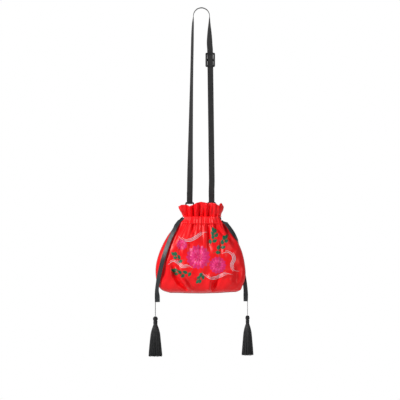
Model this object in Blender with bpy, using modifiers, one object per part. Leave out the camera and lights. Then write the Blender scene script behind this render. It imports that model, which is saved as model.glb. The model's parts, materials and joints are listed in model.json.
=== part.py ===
"""Kinchaku drawstring pouch on an adjustable shoulder strap, hanging from the top of its strap.

Run it with: blender --background --python part.py
Metres, +Z up, +X to the right of the pouch's front, -Y in front.
The origin is the underside of the strap where it hangs. Every driving dimension is in millimetres
below, and MM turns it into metres.
"""
from math import cos, pi, radians, sin

import bmesh
import bpy
from mathutils import Vector

MM = 0.001
COLLECTION = "drawstring_pouch"
CUTTERS = "cutters"
GAP = 0.3                       # between touching pieces

# Shoulder strap: 15 mm webbing, edge-on over the top and turning to face the front further down.
STRAP_WIDTH = 15.0
STRAP_THICK = 1.2
STRAP_TOP_RADIUS = 21.0
STRAP_TOP_X = 0.4
# Each run: height, x of the middle, turn of the webbing from edge-on (0) to face-on (90) in degrees.
LEFT_RUN = ((-21, -20.6, 0), (-60, -22.6, 10), (-96, -23.4, 19), (-203, -25.5, 32),
            (-354, -28.1, 55), (-440, -29.3, 80), (-470, -29.7, 90))
RIGHT_RUN = ((-21, 21.4, 0), (-45, 21.1, 22), (-70, 21.3, 52), (-92, 21.5, 78), (-108, 21.7, 90))
RING_X = {"left": -30.2, "right": 26.8}
STRAP_FRONT_Y = -0.6            # middle of the layer in front of a ring
STRAP_BACK_Y = 0.9              # middle of the layer that comes back up behind
LEFT_END_Z = -478.0             # the sewn end of the left fold
RIGHT_END_Z = -492.0            # where the strap's fold meets its tail
STRAP_STATIONS = (-160, -230, -300, -370, -440)     # heights down the straight right run
STRAP_TOP_STEPS = 12            # steps round the top bend
FOLD_STRAIGHT = 7.5             # above a ring's top bar: the fold's two layers lie straight from here
FOLD_CLOSING = 3.6              # above a ring's top bar: the layers draw together here
FOLD_STEPS = 8                  # steps round a bar
CURVE_STEPS = 4                 # stations to a span of a run or a route

# Rings: rounded rectangles of round wire, a bar at the top for the strap and one below for the tab.
RING_WIRE = 2.8
RING_OUTER_WIDTH = 22.4
RING_CORNER = 2.6
RING_TOP_Z = -506.0
RING_LOW_Z = -519.0
BAR_CLEARANCE = 0.5

# Adjuster: a moulded slide, front window with the strap behind it, centre bar at the back.
ADJUSTER_SIZE = (25.0, 6.4, 37.0)
ADJUSTER_MID_Z = -134.7
ADJUSTER_SHIFT_X = 1.2
ADJUSTER_FRONT_Y = -2.9
ADJUSTER_SLOT_WIDTH = 18.0
ADJUSTER_SLOT_Y = (-1.6, 1.9)
ADJUSTER_WINDOW = 26.5
ADJUSTER_BAR = 6.0
ADJUSTER_CORNER = 3.2
ADJUSTER_EDGE = 0.5
THROUGH = 20.0                  # how far a cutter stands out of what it cuts
END_FOLD = (-12.0, -20.0)       # from the adjuster's middle: where the end fold meets the tail, its end

# Pouch sections: height, left x, right x, front y, back y. The last one is the bottom seam.
SECTIONS = ((-508, -57.5, 56.5, -36, 20), (-524, -52, 54.5, -31, 16), (-538, -46.5, 51.5, -25, 12),
            (-550, -51.5, 55, -25.5, 13), (-562, -63, 63.5, -29, 16.5), (-592, -87, 86, -36, 25),
            (-631, -107, 104.5, -41, 31), (-668, -117.5, 113, -43, 34.5),
            (-700, -117.5, 114.5, -41, 34), (-724, -110.5, 106.5, -33, 28),
            (-736, -98, 101, -21, 17), (-741, -80, 90, -2, -2))
SECTION_POWER = 2.6
CLOTH = 1.0
FRONT_TOP_Z = -508.0
BACK_TOP_Z = -515.0
HEM_END_Z = -562.0
CHANNEL_DEPTH = 2.2             # room for a ribbon between the cloth and its folded hem
PANEL_COLUMNS = 28
OUTSIDE_Z = (-740.5, -739.8, -738, -734, -727, -716, -701, -684, -665, -645, -625, -606, -590, -576,
             -565, -557, -549, -541, -533, -524, -516)      # heights of a panel's outer rows
INSIDE_Z = (-524, -533, -541, -549, -557, HEM_END_Z)        # and of its folded hem's
HEM_FOLD_STEPS = 4
NOTCH = (-559.5, -541.5)        # the side seams stay open here, where the ribbons come out
NOTCH_DEPTH = 12.0
NOTCH_REACH = (30.0, 40.0)      # how far its cutter stands out sideways, and to the front and back

# Ring tabs: a loop of tape round each ring's lower bar, sewn to the hem inside the pouch's back.
TAB_WIDTH = 12.0
TAB_THICK = 0.9
TAB_END_Z = -553.0
TAB_BEND_Z = -527.0             # the tape leaves the ring's bar and leans to the back
TAB_LAY_Z = -536.0              # the tape lies on the hem from here down
TAB_REST_Z = (-534, -543, TAB_END_Z)    # heights where the hem's inside is read

# Drawstrings: flat ribbons, gathered narrow inside the channel, each leaving by its own side.
RIBBON_THICK = 0.7
RIBBON_GATHERED = 7.0           # width inside the channel
CHANNEL_Z = {"left": -546.2, "right": -554.4}
STRAND_GAP = 0.6                # between a ribbon's two strands
CHANNEL_START = 32.0            # degrees round the section from a ribbon's own seam to its channel run
CHANNEL_STEPS = 46              # stations of the channel run
# Each route: x, y, z, turn of the ribbon's outer face in degrees from the front towards its own
# side, its tilt upwards in degrees, and the ribbon's width there.
LEFT_ROUTE = ((-113.8, -17, -763.5, 0, 0, 12.8), (-114.2, -17.5, -748, 0, 0, 13),
              (-114.6, -19, -727, 0, 0, 9.5), (-107.5, -33.5, -687, 14, 0, 11.5),
              (-98.3, -37.5, -648, 20, 0, 12), (-83.5, -33, -603, 24, 5, 12.5),
              (-70, -28, -574, 20, 15, 12.5), (-58, -20.5, -553, 10, 15, 9))
LEFT_BACK_EXIT = ((-66, -20, -562, 40, 30, 11), (-58, -6, -549, 80, 40, 9), (-49, 1, -546.4, 140, 10, 7))
RIGHT_ROUTE = ((115.8, 17, -763.5, 180, 0, 11.2), (116, 18, -748, 180, 0, 12),
               (115.4, 20, -730, 180, 0, 11), (112.5, 23.5, -705, 172, 0, 11.5),
               (109, 25.5, -680, 160, 0, 12), (103.5, 26, -655, 146, 0, 12),
               (103.5, 20, -631, 124, 8, 12), (100.5, 6, -611, 86, 12, 12),
               (92, -15, -594, 58, 15, 12), (77, -23, -577, 34, 15, 12), (64, -21, -559, 12, 15, 9))
RIGHT_BACK_EXIT = ((70, -12, -565, 45, 35, 11), (62, -2, -556, 85, 40, 9), (54, 0, -554.4, 140, 10, 7))

# Tassels: a thin cord from the ribbon's end, a wound head, a binding and a fringe.
CORD_THICK = 1.8
CORD_GAP = 1.0                  # free of the ribbon above, to swing
CORD_END_Z = -799.6
TASSELS = {"left": (-118.9, -17.0, 1.0), "right": (120.6, 17.0, 0.86)}
HEAD_PROFILE = ((0, -800.6), (2.6, -800.9), (4.9, -802.6), (6.2, -805.2), (6.2, -807.6), (5.2, -810.6),
                (3.4, -812.2), (0, -812.4))
BINDING_PROFILE = ((0, -812.7), (4.6, -812.8), (5.4, -813.6), (5.5, -818), (5.3, -821), (0, -821.2))
SKIRT_PROFILE = ((0, -821.5), (5.6, -821.8), (8.2, -829), (12, -845), (15, -875), (18.6, -901),
                 (17.8, -903.4), (0, -903.4))
ROUND_SIDES = 20


def clear_scene():
    """Start from an empty file, whatever it held."""
    for item in list(bpy.data.objects):
        bpy.data.objects.remove(item, do_unlink=True)
    for group in list(bpy.data.collections):
        bpy.data.collections.remove(group)


def collection(name):
    """A collection of this name, linked to the scene."""
    group = bpy.data.collections.get(name)
    if group is None:
        group = bpy.data.collections.new(name)
        bpy.context.scene.collection.children.link(group)
    return group


def material(name, colour, roughness, metallic=0.0):
    """A Principled material for one piece."""
    finish = bpy.data.materials.new(name)
    finish.use_nodes = True
    shader = finish.node_tree.nodes["Principled BSDF"]
    shader.inputs["Base Color"].default_value = (*colour, 1.0)
    shader.inputs["Roughness"].default_value = roughness
    shader.inputs["Metallic"].default_value = metallic
    return finish


def new_object(name, data, group=COLLECTION, origin=(0.0, 0.0, 0.0)):
    """Link an object made from this data, its mesh kept where it is in the world."""
    item = bpy.data.objects.new(name, data)
    item.location = Vector(origin)
    collection(group).objects.link(item)
    return item


def mesh_from(bm, name, origin=(0.0, 0.0, 0.0)):
    """A mesh datablock from a bmesh in world metres, measured from its object's origin."""
    bmesh.ops.translate(bm, verts=bm.verts, vec=-Vector(origin))
    data = bpy.data.meshes.new(name)
    bm.to_mesh(data)
    bm.free()
    return data


def smooth_curve(points, steps):
    """Points on a Catmull-Rom curve through rows of numbers, steps to a span."""
    rows = [Vector(p) for p in points]
    rows = [rows[0] * 2 - rows[1]] + rows + [rows[-1] * 2 - rows[-2]]
    out = []
    for a, b, c, d in zip(rows, rows[1:], rows[2:], rows[3:]):
        for k in range(steps):
            t = k / steps
            out.append(0.5 * (b * 2 + (c - a) * t + (a * 2 - b * 5 + c * 4 - d) * t * t
                              + (b * 3 - a - c * 3 + d) * t ** 3))
    out.append(rows[-2])
    return out


def at_height(table, z):
    """Read a table of rows that start with a height, smoothly between its rows."""
    if z >= table[0][0]:
        return table[0][1:]
    if z <= table[-1][0]:
        return table[-1][1:]
    for k, (upper, lower) in enumerate(zip(table, table[1:])):
        if lower[0] <= z <= upper[0]:
            break
    t = (upper[0] - z) / (upper[0] - lower[0])
    before = table[max(k - 1, 0)]
    after = table[min(k + 2, len(table) - 1)]
    values = []
    for column in range(1, len(upper)):
        start = (lower[column] - before[column]) / (before[0] - lower[0])
        end = (after[column] - upper[column]) / (upper[0] - after[0])
        span = upper[0] - lower[0]
        h = (2 * t ** 3 - 3 * t * t + 1, t ** 3 - 2 * t * t + t, 3 * t * t - 2 * t ** 3, t ** 3 - t * t)
        values.append(h[0] * upper[column] + h[1] * span * start + h[2] * lower[column] + h[3] * span * end)
    return tuple(values)


def grid_sheet(name, columns, rows, place, finish, thickness, offset=0.0, origin=(0.0, 0.0, 0.0)):
    """A sheet: a grid whose corner (column, row) is moved to place(u, v) in mm, given a thickness.

    u and v run from 0 to 1 over the columns and the rows.
    """
    bm = bmesh.new()
    bmesh.ops.create_grid(bm, x_segments=columns, y_segments=rows, size=0.5)
    for vert in bm.verts:
        u = round((vert.co.x + 0.5) * columns) / columns
        v = round((vert.co.y + 0.5) * rows) / rows
        vert.co = Vector(place(u, v)) * MM
    item = new_object(name, mesh_from(bm, name, origin), origin=origin)
    item.data.materials.append(finish)
    item.data.shade_smooth()
    solid = item.modifiers.new("thickness", "SOLIDIFY")
    solid.thickness = thickness * MM
    solid.offset = offset
    solid.use_even_offset = True
    return item


def band(name, stations, thickness, finish, offset=0.0, origin=(0.0, 0.0, 0.0)):
    """A flat band through stations of (middle, sideways unit vector, width), all in mm."""
    last = len(stations) - 1

    def place(u, v):
        middle, side, width = stations[round(v * last)]
        return middle + side * (width * (u - 0.5))

    return grid_sheet(name, 1, last, place, finish, thickness, offset, origin)


def turned(name, profile, centre, factor, finish, origin):
    """A turned piece: its (radius, height) profile, from the top down, spun round the Z axis."""
    bm = bmesh.new()
    corners = [bm.verts.new((r * factor * MM, 0.0, z * MM)) for r, z in profile]
    for a, b in zip(corners, corners[1:]):
        bm.edges.new((a, b))
    data = bpy.data.meshes.new(name)
    bm.to_mesh(data)
    bm.free()
    item = new_object(name, data, origin=(centre[0] * MM, centre[1] * MM, 0.0))
    for vert in data.vertices:
        vert.co.z -= origin[2]
    item.location.z = origin[2]
    data.materials.append(finish)
    screw = item.modifiers.new("turn", "SCREW")
    screw.steps = ROUND_SIDES
    screw.render_steps = ROUND_SIDES
    screw.use_merge_vertices = True
    screw.merge_threshold = 0.00005
    screw.use_smooth_shade = True
    return item


def wire(name, points, diameter, finish, origin, closed=False):
    """A round wire or cord through points in mm."""
    data = bpy.data.curves.new(name, "CURVE")
    data.dimensions = "3D"
    data.bevel_depth = diameter / 2 * MM
    data.bevel_resolution = 2
    data.use_fill_caps = not closed
    line = data.splines.new("POLY")
    line.points.add(len(points) - 1)
    for point, place in zip(line.points, points):
        point.co = (*(Vector(place) * MM - Vector(origin)), 1.0)
    line.use_cyclic_u = closed
    line.use_smooth = True
    data.materials.append(finish)
    return new_object(name, data, origin=origin)


def box_cutter(name, low, high):
    """A box in mm that a Boolean takes away."""
    bm = bmesh.new()
    bmesh.ops.create_cube(bm, size=1.0)
    size = Vector(high) - Vector(low)
    middle = (Vector(high) + Vector(low)) / 2
    for vert in bm.verts:
        vert.co = Vector((vert.co.x * size.x, vert.co.y * size.y, vert.co.z * size.z)) + middle
        vert.co *= MM
    item = new_object(name, mesh_from(bm, name), CUTTERS)
    item.hide_render = True
    item.display_type = "WIRE"
    return item


def cut(item, cutter):
    """Take a cutter away from an object."""
    boolean = item.modifiers.new(cutter.name, "BOOLEAN")
    boolean.operation = "DIFFERENCE"
    boolean.object = cutter


# --- shoulder strap ---------------------------------------------------------------------------

def right_run_x(z):
    """X of the strap's straight right run, from its last twisted station to the right ring."""
    top = RIGHT_RUN[-1]
    share = (top[0] - z) / (top[0] - RING_TOP_Z)
    return top[1] + (RING_X["right"] - top[1]) * share


def strap_fold(x, end_z):
    """The webbing's way round a ring's top bar, front to back and up to end_z: (middle, side)."""
    radius = RING_WIRE / 2 + BAR_CLEARANCE + STRAP_THICK / 2
    across = Vector((1, 0, 0))
    straight_z = RING_TOP_Z + FOLD_STRAIGHT
    closing_z = RING_TOP_Z + FOLD_CLOSING
    out = [(Vector((x, STRAP_FRONT_Y, straight_z)), across),
           (Vector((x, STRAP_FRONT_Y * 0.55 - radius * 0.45, closing_z)), across)]
    for k in range(FOLD_STEPS + 1):
        angle = pi + pi * k / FOLD_STEPS
        out.append((Vector((x, radius * cos(angle), RING_TOP_Z + radius * sin(angle))), across))
    out.append((Vector((x, STRAP_BACK_Y * 0.55 + radius * 0.45, closing_z)), across))
    out.append((Vector((x, STRAP_BACK_Y, straight_z)), across))
    out.append((Vector((x, STRAP_BACK_Y, end_z)), across))
    return out


def twisted_run(run):
    """Stations down one run: the webbing turns from edge-on to face-on."""
    out = []
    for z, x, turn in smooth_curve(run, CURVE_STEPS):
        angle = radians(turn)
        side = Vector((sin(angle), -cos(angle), 0))
        out.append((Vector((x, STRAP_FRONT_Y * sin(angle), z)), side))
    return out


def make_strap(finish):
    """The webbing from its sewn end at the left ring, over the top, to the fold at the right one."""
    stations = list(reversed(strap_fold(RING_X["left"], LEFT_END_Z)))
    stations += reversed(twisted_run(LEFT_RUN))
    for k in range(1, STRAP_TOP_STEPS):
        angle = pi - pi * k / STRAP_TOP_STEPS
        middle = Vector((cos(angle), 0, sin(angle))) * STRAP_TOP_RADIUS
        middle += Vector((STRAP_TOP_X, 0, STRAP_THICK / 2 - STRAP_TOP_RADIUS))
        stations.append((middle, Vector((0, -1, 0))))
    stations += twisted_run(RIGHT_RUN)
    for z in STRAP_STATIONS:
        stations.append((Vector((right_run_x(z), STRAP_FRONT_Y, z)), Vector((1, 0, 0))))
    stations += strap_fold(RING_X["right"], RIGHT_END_Z)
    return band("shoulder_strap", [(p, s, STRAP_WIDTH) for p, s in stations], STRAP_THICK, finish)


def make_strap_tail(finish):
    """The webbing's other end, from the right ring's fold up to the adjuster, behind the strap."""
    top = ADJUSTER_MID_Z + END_FOLD[0] - GAP
    low = RIGHT_END_Z + GAP
    stations = []
    for k in range(FOLD_STEPS + 1):
        z = low + (top - low) * k / FOLD_STEPS
        stations.append((Vector((right_run_x(z), STRAP_BACK_Y, z)), Vector((1, 0, 0)), STRAP_WIDTH))
    return band("strap_tail", stations, STRAP_THICK, finish)


def make_strap_end_fold(finish):
    """The webbing's end, folded over the adjuster's centre bar and sewn to itself below it."""
    x = right_run_x(ADJUSTER_MID_Z)
    bar_back = ADJUSTER_FRONT_Y + ADJUSTER_SIZE[1]
    back = bar_back + GAP + STRAP_THICK / 2
    over = ADJUSTER_BAR / 2 + GAP + STRAP_THICK / 2
    sewn = STRAP_BACK_Y + STRAP_THICK + GAP
    route = ((STRAP_BACK_Y, END_FOLD[0]), (STRAP_BACK_Y, 0), (STRAP_BACK_Y, over - 0.9),
             (STRAP_BACK_Y + 0.7, over - 0.1), ((STRAP_BACK_Y + back) / 2, over), (back - 0.7, over - 0.1),
             (back, over - 0.9), (back, -over + 0.5), (sewn + 1, -over - 3), (sewn, -over - 6),
             (sewn, END_FOLD[1]))
    stations = [(Vector((x, y, ADJUSTER_MID_Z + z)), Vector((1, 0, 0)), STRAP_WIDTH) for y, z in route]
    return band("strap_end_fold", stations, STRAP_THICK, finish)


def make_adjuster(finish):
    """The moulded slide: side rails, front bars above and below, a centre bar at the back."""
    wide, deep, tall = ADJUSTER_SIZE
    x = right_run_x(ADJUSTER_MID_Z) + ADJUSTER_SHIFT_X
    y = ADJUSTER_FRONT_Y + deep / 2
    bm = bmesh.new()
    bmesh.ops.create_cube(bm, size=1.0)
    for vert in bm.verts:
        vert.co = Vector((vert.co.x * wide, vert.co.y * deep, vert.co.z * tall)) * MM
    upright = [e for e in bm.edges if abs(e.verts[0].co.y - e.verts[1].co.y) > deep / 2 * MM]
    bmesh.ops.bevel(bm, geom=upright, offset=ADJUSTER_CORNER * MM, segments=4, affect="EDGES", profile=0.5)
    origin = Vector((x, y, ADJUSTER_MID_Z)) * MM
    bmesh.ops.translate(bm, verts=bm.verts, vec=origin)
    item = new_object("adjuster", mesh_from(bm, "adjuster", origin), origin=origin)
    item.data.materials.append(finish)
    half = ADJUSTER_SLOT_WIDTH / 2
    front, back = ADJUSTER_SLOT_Y
    z = ADJUSTER_MID_Z
    cut(item, box_cutter("strap_slot", (x - half, front, z - tall), (x + half, back, z + tall)))
    window = ADJUSTER_WINDOW / 2
    low, high = (x - half, -THROUGH, z - window), (x + half, front + 0.1, z + window)
    cut(item, box_cutter("front_window", low, high))
    bar = ADJUSTER_BAR / 2
    cut(item, box_cutter("back_upper", (x - half, back - 0.1, z + bar), (x + half, THROUGH, z + tall)))
    cut(item, box_cutter("back_lower", (x - half, back - 0.1, z - tall), (x + half, THROUGH, z - bar)))
    edge = item.modifiers.new("softened", "BEVEL")
    edge.width = ADJUSTER_EDGE * MM
    edge.segments = 1
    edge.limit_method = "ANGLE"
    edge.angle_limit = radians(50)
    return item


# --- rings and their tabs ---------------------------------------------------------------------

def make_ring(side, finish):
    """A rounded rectangle of round wire; its origin is on its top bar's axis."""
    x = RING_X[side]
    half = RING_OUTER_WIDTH / 2 - RING_WIRE / 2
    corners = ((half, RING_TOP_Z, 0), (-half, RING_TOP_Z, 90), (-half, RING_LOW_Z, 180),
               (half, RING_LOW_Z, 270))
    points = []
    for cx, cz, start in corners:
        mx = x + cx - RING_CORNER * (1 if cx > 0 else -1)
        mz = cz - RING_CORNER * (1 if cz == RING_TOP_Z else -1)
        for k in range(5):
            angle = radians(start + 90 * k / 4)
            points.append((mx + RING_CORNER * cos(angle), 0, mz + RING_CORNER * sin(angle)))
    origin = (x * MM, 0, RING_TOP_Z * MM)
    return wire("ring_" + side, points, RING_WIRE, finish, origin, closed=True)


def make_ring_tab(side, finish):
    """Tape round the ring's lower bar, its two ends lying together on the hem inside the back."""
    x = RING_X[side]
    radius = RING_WIRE / 2 + BAR_CLEARANCE + TAB_THICK / 2
    inset = CLOTH * 2 + CHANNEL_DEPTH
    low = min(wall_y(x + dx, z, inset, 1) for dx in (-TAB_WIDTH / 2, TAB_WIDTH / 2)
              for z in TAB_REST_Z)
    back = low - GAP - TAB_THICK / 2
    front = back - TAB_THICK - GAP
    route = [(back, TAB_END_Z), (back, TAB_LAY_Z), ((back + radius) / 2, TAB_BEND_Z)]
    for k in range(FOLD_STEPS + 1):
        angle = pi * k / FOLD_STEPS
        route.append((radius * cos(angle), RING_LOW_Z + radius * sin(angle)))
    route += [((front - radius) / 2, TAB_BEND_Z), (front, TAB_LAY_Z), (front, TAB_END_Z)]
    stations = [(Vector((x, y, z)), Vector((1, 0, 0)), TAB_WIDTH) for y, z in route]
    return band("ring_tab_" + side, stations, TAB_THICK, finish)


# --- pouch ------------------------------------------------------------------------------------

def section(z, inset=0.0):
    """The pouch's outer section at a height: middle x, seam y, half width, half depth."""
    left, right, front, back = at_height(SECTIONS, z)
    half_depth = max((back - front) / 2 - inset, 0.0)
    return (left + right) / 2, (front + back) / 2, (right - left) / 2 - inset, half_depth


def section_point(z, angle, inset, side):
    """A point on the section: angle 0 at the right seam, pi at the left; side -1 front, 1 back."""
    mid_x, seam_y, half_x, half_y = section(z, inset)
    power = 2 / SECTION_POWER
    across = abs(cos(angle)) ** power * (1 if cos(angle) > 0 else -1)
    return Vector((mid_x + half_x * across, seam_y + side * half_y * abs(sin(angle)) ** power, z))


def wall_y(x, z, inset, side):
    """The y of the front (-1) or back (1) wall at this x and height."""
    mid_x, seam_y, half_x, half_y = section(z, inset)
    share = min(abs((x - mid_x) / half_x), 1.0)
    return seam_y + side * half_y * (1 - share ** SECTION_POWER) ** (1 / SECTION_POWER)


def panel_rows(top_z):
    """The panel's way from the bottom seam up, over its top edge and down inside: (z, inset)."""
    outer = CLOTH / 2
    inner = CLOTH * 1.5 + CHANNEL_DEPTH
    fold = (inner - outer) / 2
    rows = [(z, outer) for z in OUTSIDE_Z if z < top_z - 3]
    for k in range(HEM_FOLD_STEPS + 1):
        angle = pi * k / HEM_FOLD_STEPS
        rows.append((top_z - fold + fold * sin(angle), outer + fold * (1 - cos(angle))))
    rows += [(z, inner) for z in INSIDE_Z]
    return rows


def make_panel(name, side, top_z, finish):
    """The front (-1) or back (1) of the pouch: a sewn shell with its top hem folded inside."""
    rows = panel_rows(top_z)
    last = len(rows) - 1

    def place(u, v):
        z, inset = rows[round(v * last)]
        angle = pi * (1 - u)
        point = section_point(z, angle, inset, side)
        if round(v * last) == 0:
            point.y = section(z)[1]
        point.y += side * GAP
        return point

    item = grid_sheet(name, PANEL_COLUMNS, last, place, finish, CLOTH)
    for x, way in ((section_point(CHANNEL_Z["left"], pi, 0, 1).x, 1),
                   (section_point(CHANNEL_Z["right"], 0, 0, 1).x, -1)):
        out_x, out_y = NOTCH_REACH
        low_x, high_x = sorted((x - way * out_x, x + way * NOTCH_DEPTH))
        cut(item, box_cutter(name + "_notch", (low_x, -out_y, NOTCH[0]), (high_x, out_y, NOTCH[1])))
    return item


# --- drawstrings ------------------------------------------------------------------------------

def facing(turn, lift, outward):
    """The ribbon's outer face: turned from the front towards its own side, and tilted up."""
    turn, lift = radians(turn), radians(lift)
    return Vector((outward * sin(turn) * cos(lift), -cos(turn) * cos(lift), sin(lift)))


def channel_run(side):
    """The ribbon inside the channel: from its own notch round the far side and back again."""
    inset = CLOTH + CHANNEL_DEPTH / 2
    own = 1 if side == "right" else -1
    upper = CHANNEL_Z[side] + RIBBON_GATHERED / 2
    lower = CHANNEL_Z[side] - RIBBON_GATHERED / 2
    first = radians(CHANNEL_START)
    out = []
    for k in range(CHANNEL_STEPS + 1):
        turn = first + (2 * pi - 2 * first) * k / CHANNEL_STEPS
        face = -1 if turn < pi else 1
        angle = turn if turn < pi else 2 * pi - turn
        if own < 0:
            angle = pi - angle
        top = section_point(upper, angle, inset, face)
        foot = section_point(lower, angle, inset, face)
        across = (foot - top).normalized() * -own
        out.append(((top + foot) / 2, across, RIBBON_GATHERED))
    return out


def strand_stations(rows, outward, gap):
    """Stations of a free strand, gap behind the route: (middle, sideways, width)."""
    places = [Vector(r[:3]) - facing(r[3], r[4], outward) * gap for r in rows]
    out = []
    for k, (place, row) in enumerate(zip(places, rows)):
        along = places[min(k + 1, len(rows) - 1)] - places[max(k - 1, 0)]
        across = along.cross(facing(row[3], row[4], outward)).normalized()
        out.append((place, across, row[5]))
    return out


def ribbon_stations(side, route, back_exit):
    """The whole ribbon: up its front strand, round the channel, and down its back strand."""
    outward = 1 if side == "right" else -1
    front = strand_stations(smooth_curve(route, CURVE_STEPS), outward, 0.0)
    behind = list(route[:-1]) + list(back_exit)
    back = strand_stations(smooth_curve(behind, CURVE_STEPS), outward, RIBBON_THICK + STRAND_GAP)
    back.reverse()
    return front + channel_run(side) + back


def make_ribbon(side, route, back_exit, finish):
    """One drawstring ribbon."""
    stations = ribbon_stations(side, route, back_exit)
    return band("drawstring_" + side, stations, RIBBON_THICK, finish)


# --- tassels ----------------------------------------------------------------------------------

def make_tassel(side, thread):
    """The cord, head, binding and fringe that hang from one ribbon's end."""
    x, y, factor = TASSELS[side]
    route = LEFT_ROUTE if side == "left" else RIGHT_ROUTE
    top = route[0][2] - CORD_GAP
    points = [(x, y, top + (CORD_END_Z - top) * k / 8) for k in range(9)]
    wire("tassel_cord_" + side, points, CORD_THICK, thread, (x * MM, y * MM, top * MM))
    pivot = (x * MM, y * MM, CORD_END_Z * MM)
    for name, profile in (("head", HEAD_PROFILE), ("binding", BINDING_PROFILE), ("fringe", SKIRT_PROFILE)):
        turned("tassel_%s_%s" % (name, side), profile, (x, y), factor, thread, pivot)


def main():
    """Build every piece."""
    clear_scene()
    webbing = material("black_webbing", (0.018, 0.018, 0.02), 0.75)
    moulding = material("black_plastic", (0.012, 0.012, 0.013), 0.35)
    enamel = material("black_ring", (0.01, 0.01, 0.011), 0.3, 0.6)
    satin = material("red_satin", (0.85, 0.005, 0.012), 0.38)
    ribbon = material("black_ribbon", (0.02, 0.022, 0.025), 0.5)
    thread = material("black_thread", (0.01, 0.01, 0.012), 0.6)
    make_strap(webbing)
    make_strap_tail(webbing)
    make_strap_end_fold(webbing)
    make_adjuster(moulding)
    for side in ("left", "right"):
        make_ring(side, enamel)
        make_ring_tab(side, webbing)
        make_tassel(side, thread)
    make_panel("pouch_front", -1, FRONT_TOP_Z, satin)
    make_panel("pouch_back", 1, BACK_TOP_Z, satin)
    make_ribbon("left", LEFT_ROUTE, LEFT_BACK_EXIT, ribbon)
    make_ribbon("right", RIGHT_ROUTE, RIGHT_BACK_EXIT, ribbon)


main()
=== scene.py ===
"""The looks of the kinchaku drawstring pouch: satin, embroidery, webbing, ribbons and tassels.

Places are in the frame's metres; sizes written in millimetres are turned into metres by MM.
"""

import json
from math import cos, pi, radians, sin, tau

import bmesh
import bpy
import numpy as np
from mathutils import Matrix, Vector
from mathutils.bvhtree import BVHTree


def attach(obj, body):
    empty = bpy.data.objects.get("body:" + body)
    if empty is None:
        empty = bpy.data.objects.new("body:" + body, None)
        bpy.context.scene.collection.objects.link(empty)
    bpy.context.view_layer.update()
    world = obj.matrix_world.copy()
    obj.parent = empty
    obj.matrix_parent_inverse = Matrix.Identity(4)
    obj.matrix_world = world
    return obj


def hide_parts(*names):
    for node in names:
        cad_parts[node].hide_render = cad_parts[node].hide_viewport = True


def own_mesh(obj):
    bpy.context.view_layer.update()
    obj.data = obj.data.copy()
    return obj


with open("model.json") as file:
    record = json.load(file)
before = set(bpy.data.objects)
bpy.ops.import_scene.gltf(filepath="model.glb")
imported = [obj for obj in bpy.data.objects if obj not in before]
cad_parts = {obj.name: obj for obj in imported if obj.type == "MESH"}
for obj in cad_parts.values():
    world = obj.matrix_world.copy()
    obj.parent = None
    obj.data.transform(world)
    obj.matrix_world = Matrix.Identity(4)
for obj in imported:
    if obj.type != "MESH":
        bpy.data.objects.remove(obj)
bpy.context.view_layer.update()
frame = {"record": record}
MM = 0.001

# --- the frame's places -----------------------------------------------------------------------

JOINT = {j["name"]: j for j in frame["record"]["behaviour"]["joints"]}
RING_TOP_Z = JOINT["left_ring_swing"]["pos_m"][2] / MM
RING_BAR_Z = JOINT["pouch_swing"]["pos_m"][2] / MM
CORD_LOW = {s: Vector(JOINT[s + "_tassel_swing"]["pos_m"]) for s in ("left", "right")}

# --- camera, light and stage ------------------------------------------------------------------

VIEW_CENTRE = Vector((-0.0034, 0.0, -0.499))
VIEW_WIDTH = 1.04               # metres across the view at the pouch
CAMERA_DISTANCE = 4.2
SENSOR = 36.0
# name, place, size, power
LAMPS = (
    ("key", (-1.7, -1.4, 0.3), 0.5, 44),
    ("fill", (1.5, -1.6, -0.4), 1.0, 10),
    ("rim", (0.6, 1.5, 0.3), 1.0, 12),
)
LAMP_TARGET = Vector((0, 0, -0.64))
SURROUND = 0.27
FLOOR_Z = -1.2
FLOOR_BACK = 1.35               # the floor ends behind the pouch, below the view
FLOOR_DEPTH = 7.0
FLOOR_WIDTH = 8.0


def deselect():
    """Nothing selected, nothing in edit mode."""
    if bpy.context.object and bpy.context.object.mode != "OBJECT":
        bpy.ops.object.mode_set(mode="OBJECT")
    bpy.ops.object.select_all(action="DESELECT")


def select_only(item):
    """Make a piece the active one, and the only one selected."""
    deselect()
    item.select_set(True)
    bpy.context.view_layer.objects.active = item


def make_camera():
    """A long lens square on to the pouch's front."""
    data = bpy.data.cameras.new("camera")
    data.sensor_width = SENSOR
    data.lens = SENSOR * CAMERA_DISTANCE / VIEW_WIDTH
    data.clip_end = 30.0
    camera = bpy.data.objects.new("camera", data)
    camera.location = VIEW_CENTRE - Vector((0, CAMERA_DISTANCE, 0))
    camera.rotation_euler = (radians(90), 0, 0)
    bpy.context.scene.collection.objects.link(camera)
    bpy.context.scene.camera = camera


def make_light():
    """A soft studio: a key from the upper left, a fill from the right, a rim, and a pale surround."""
    scene = bpy.context.scene
    scene.view_settings.view_transform = "Standard"
    world = bpy.data.worlds.new("studio")
    scene.world = world
    world.use_nodes = True
    nodes, links = world.node_tree.nodes, world.node_tree.links
    surround = nodes["Background"]
    surround.inputs["Color"].default_value = (1, 1, 1, 1)
    surround.inputs["Strength"].default_value = SURROUND
    backdrop = nodes.new("ShaderNodeBackground")
    backdrop.inputs["Color"].default_value = (1, 1, 1, 1)
    path = nodes.new("ShaderNodeLightPath")
    mix = nodes.new("ShaderNodeMixShader")
    links.new(path.outputs["Is Camera Ray"], mix.inputs["Fac"])
    links.new(surround.outputs[0], mix.inputs[1])
    links.new(backdrop.outputs[0], mix.inputs[2])
    links.new(mix.outputs[0], nodes["World Output"].inputs["Surface"])
    for name, place, size, power in LAMPS:
        data = bpy.data.lights.new(name, "AREA")
        data.shape = "SQUARE"
        data.size = size
        data.energy = power
        lamp = bpy.data.objects.new(name, data)
        lamp.location = place
        lamp.rotation_euler = (LAMP_TARGET - Vector(place)).to_track_quat("-Z", "Y").to_euler()
        scene.collection.objects.link(lamp)


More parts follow.
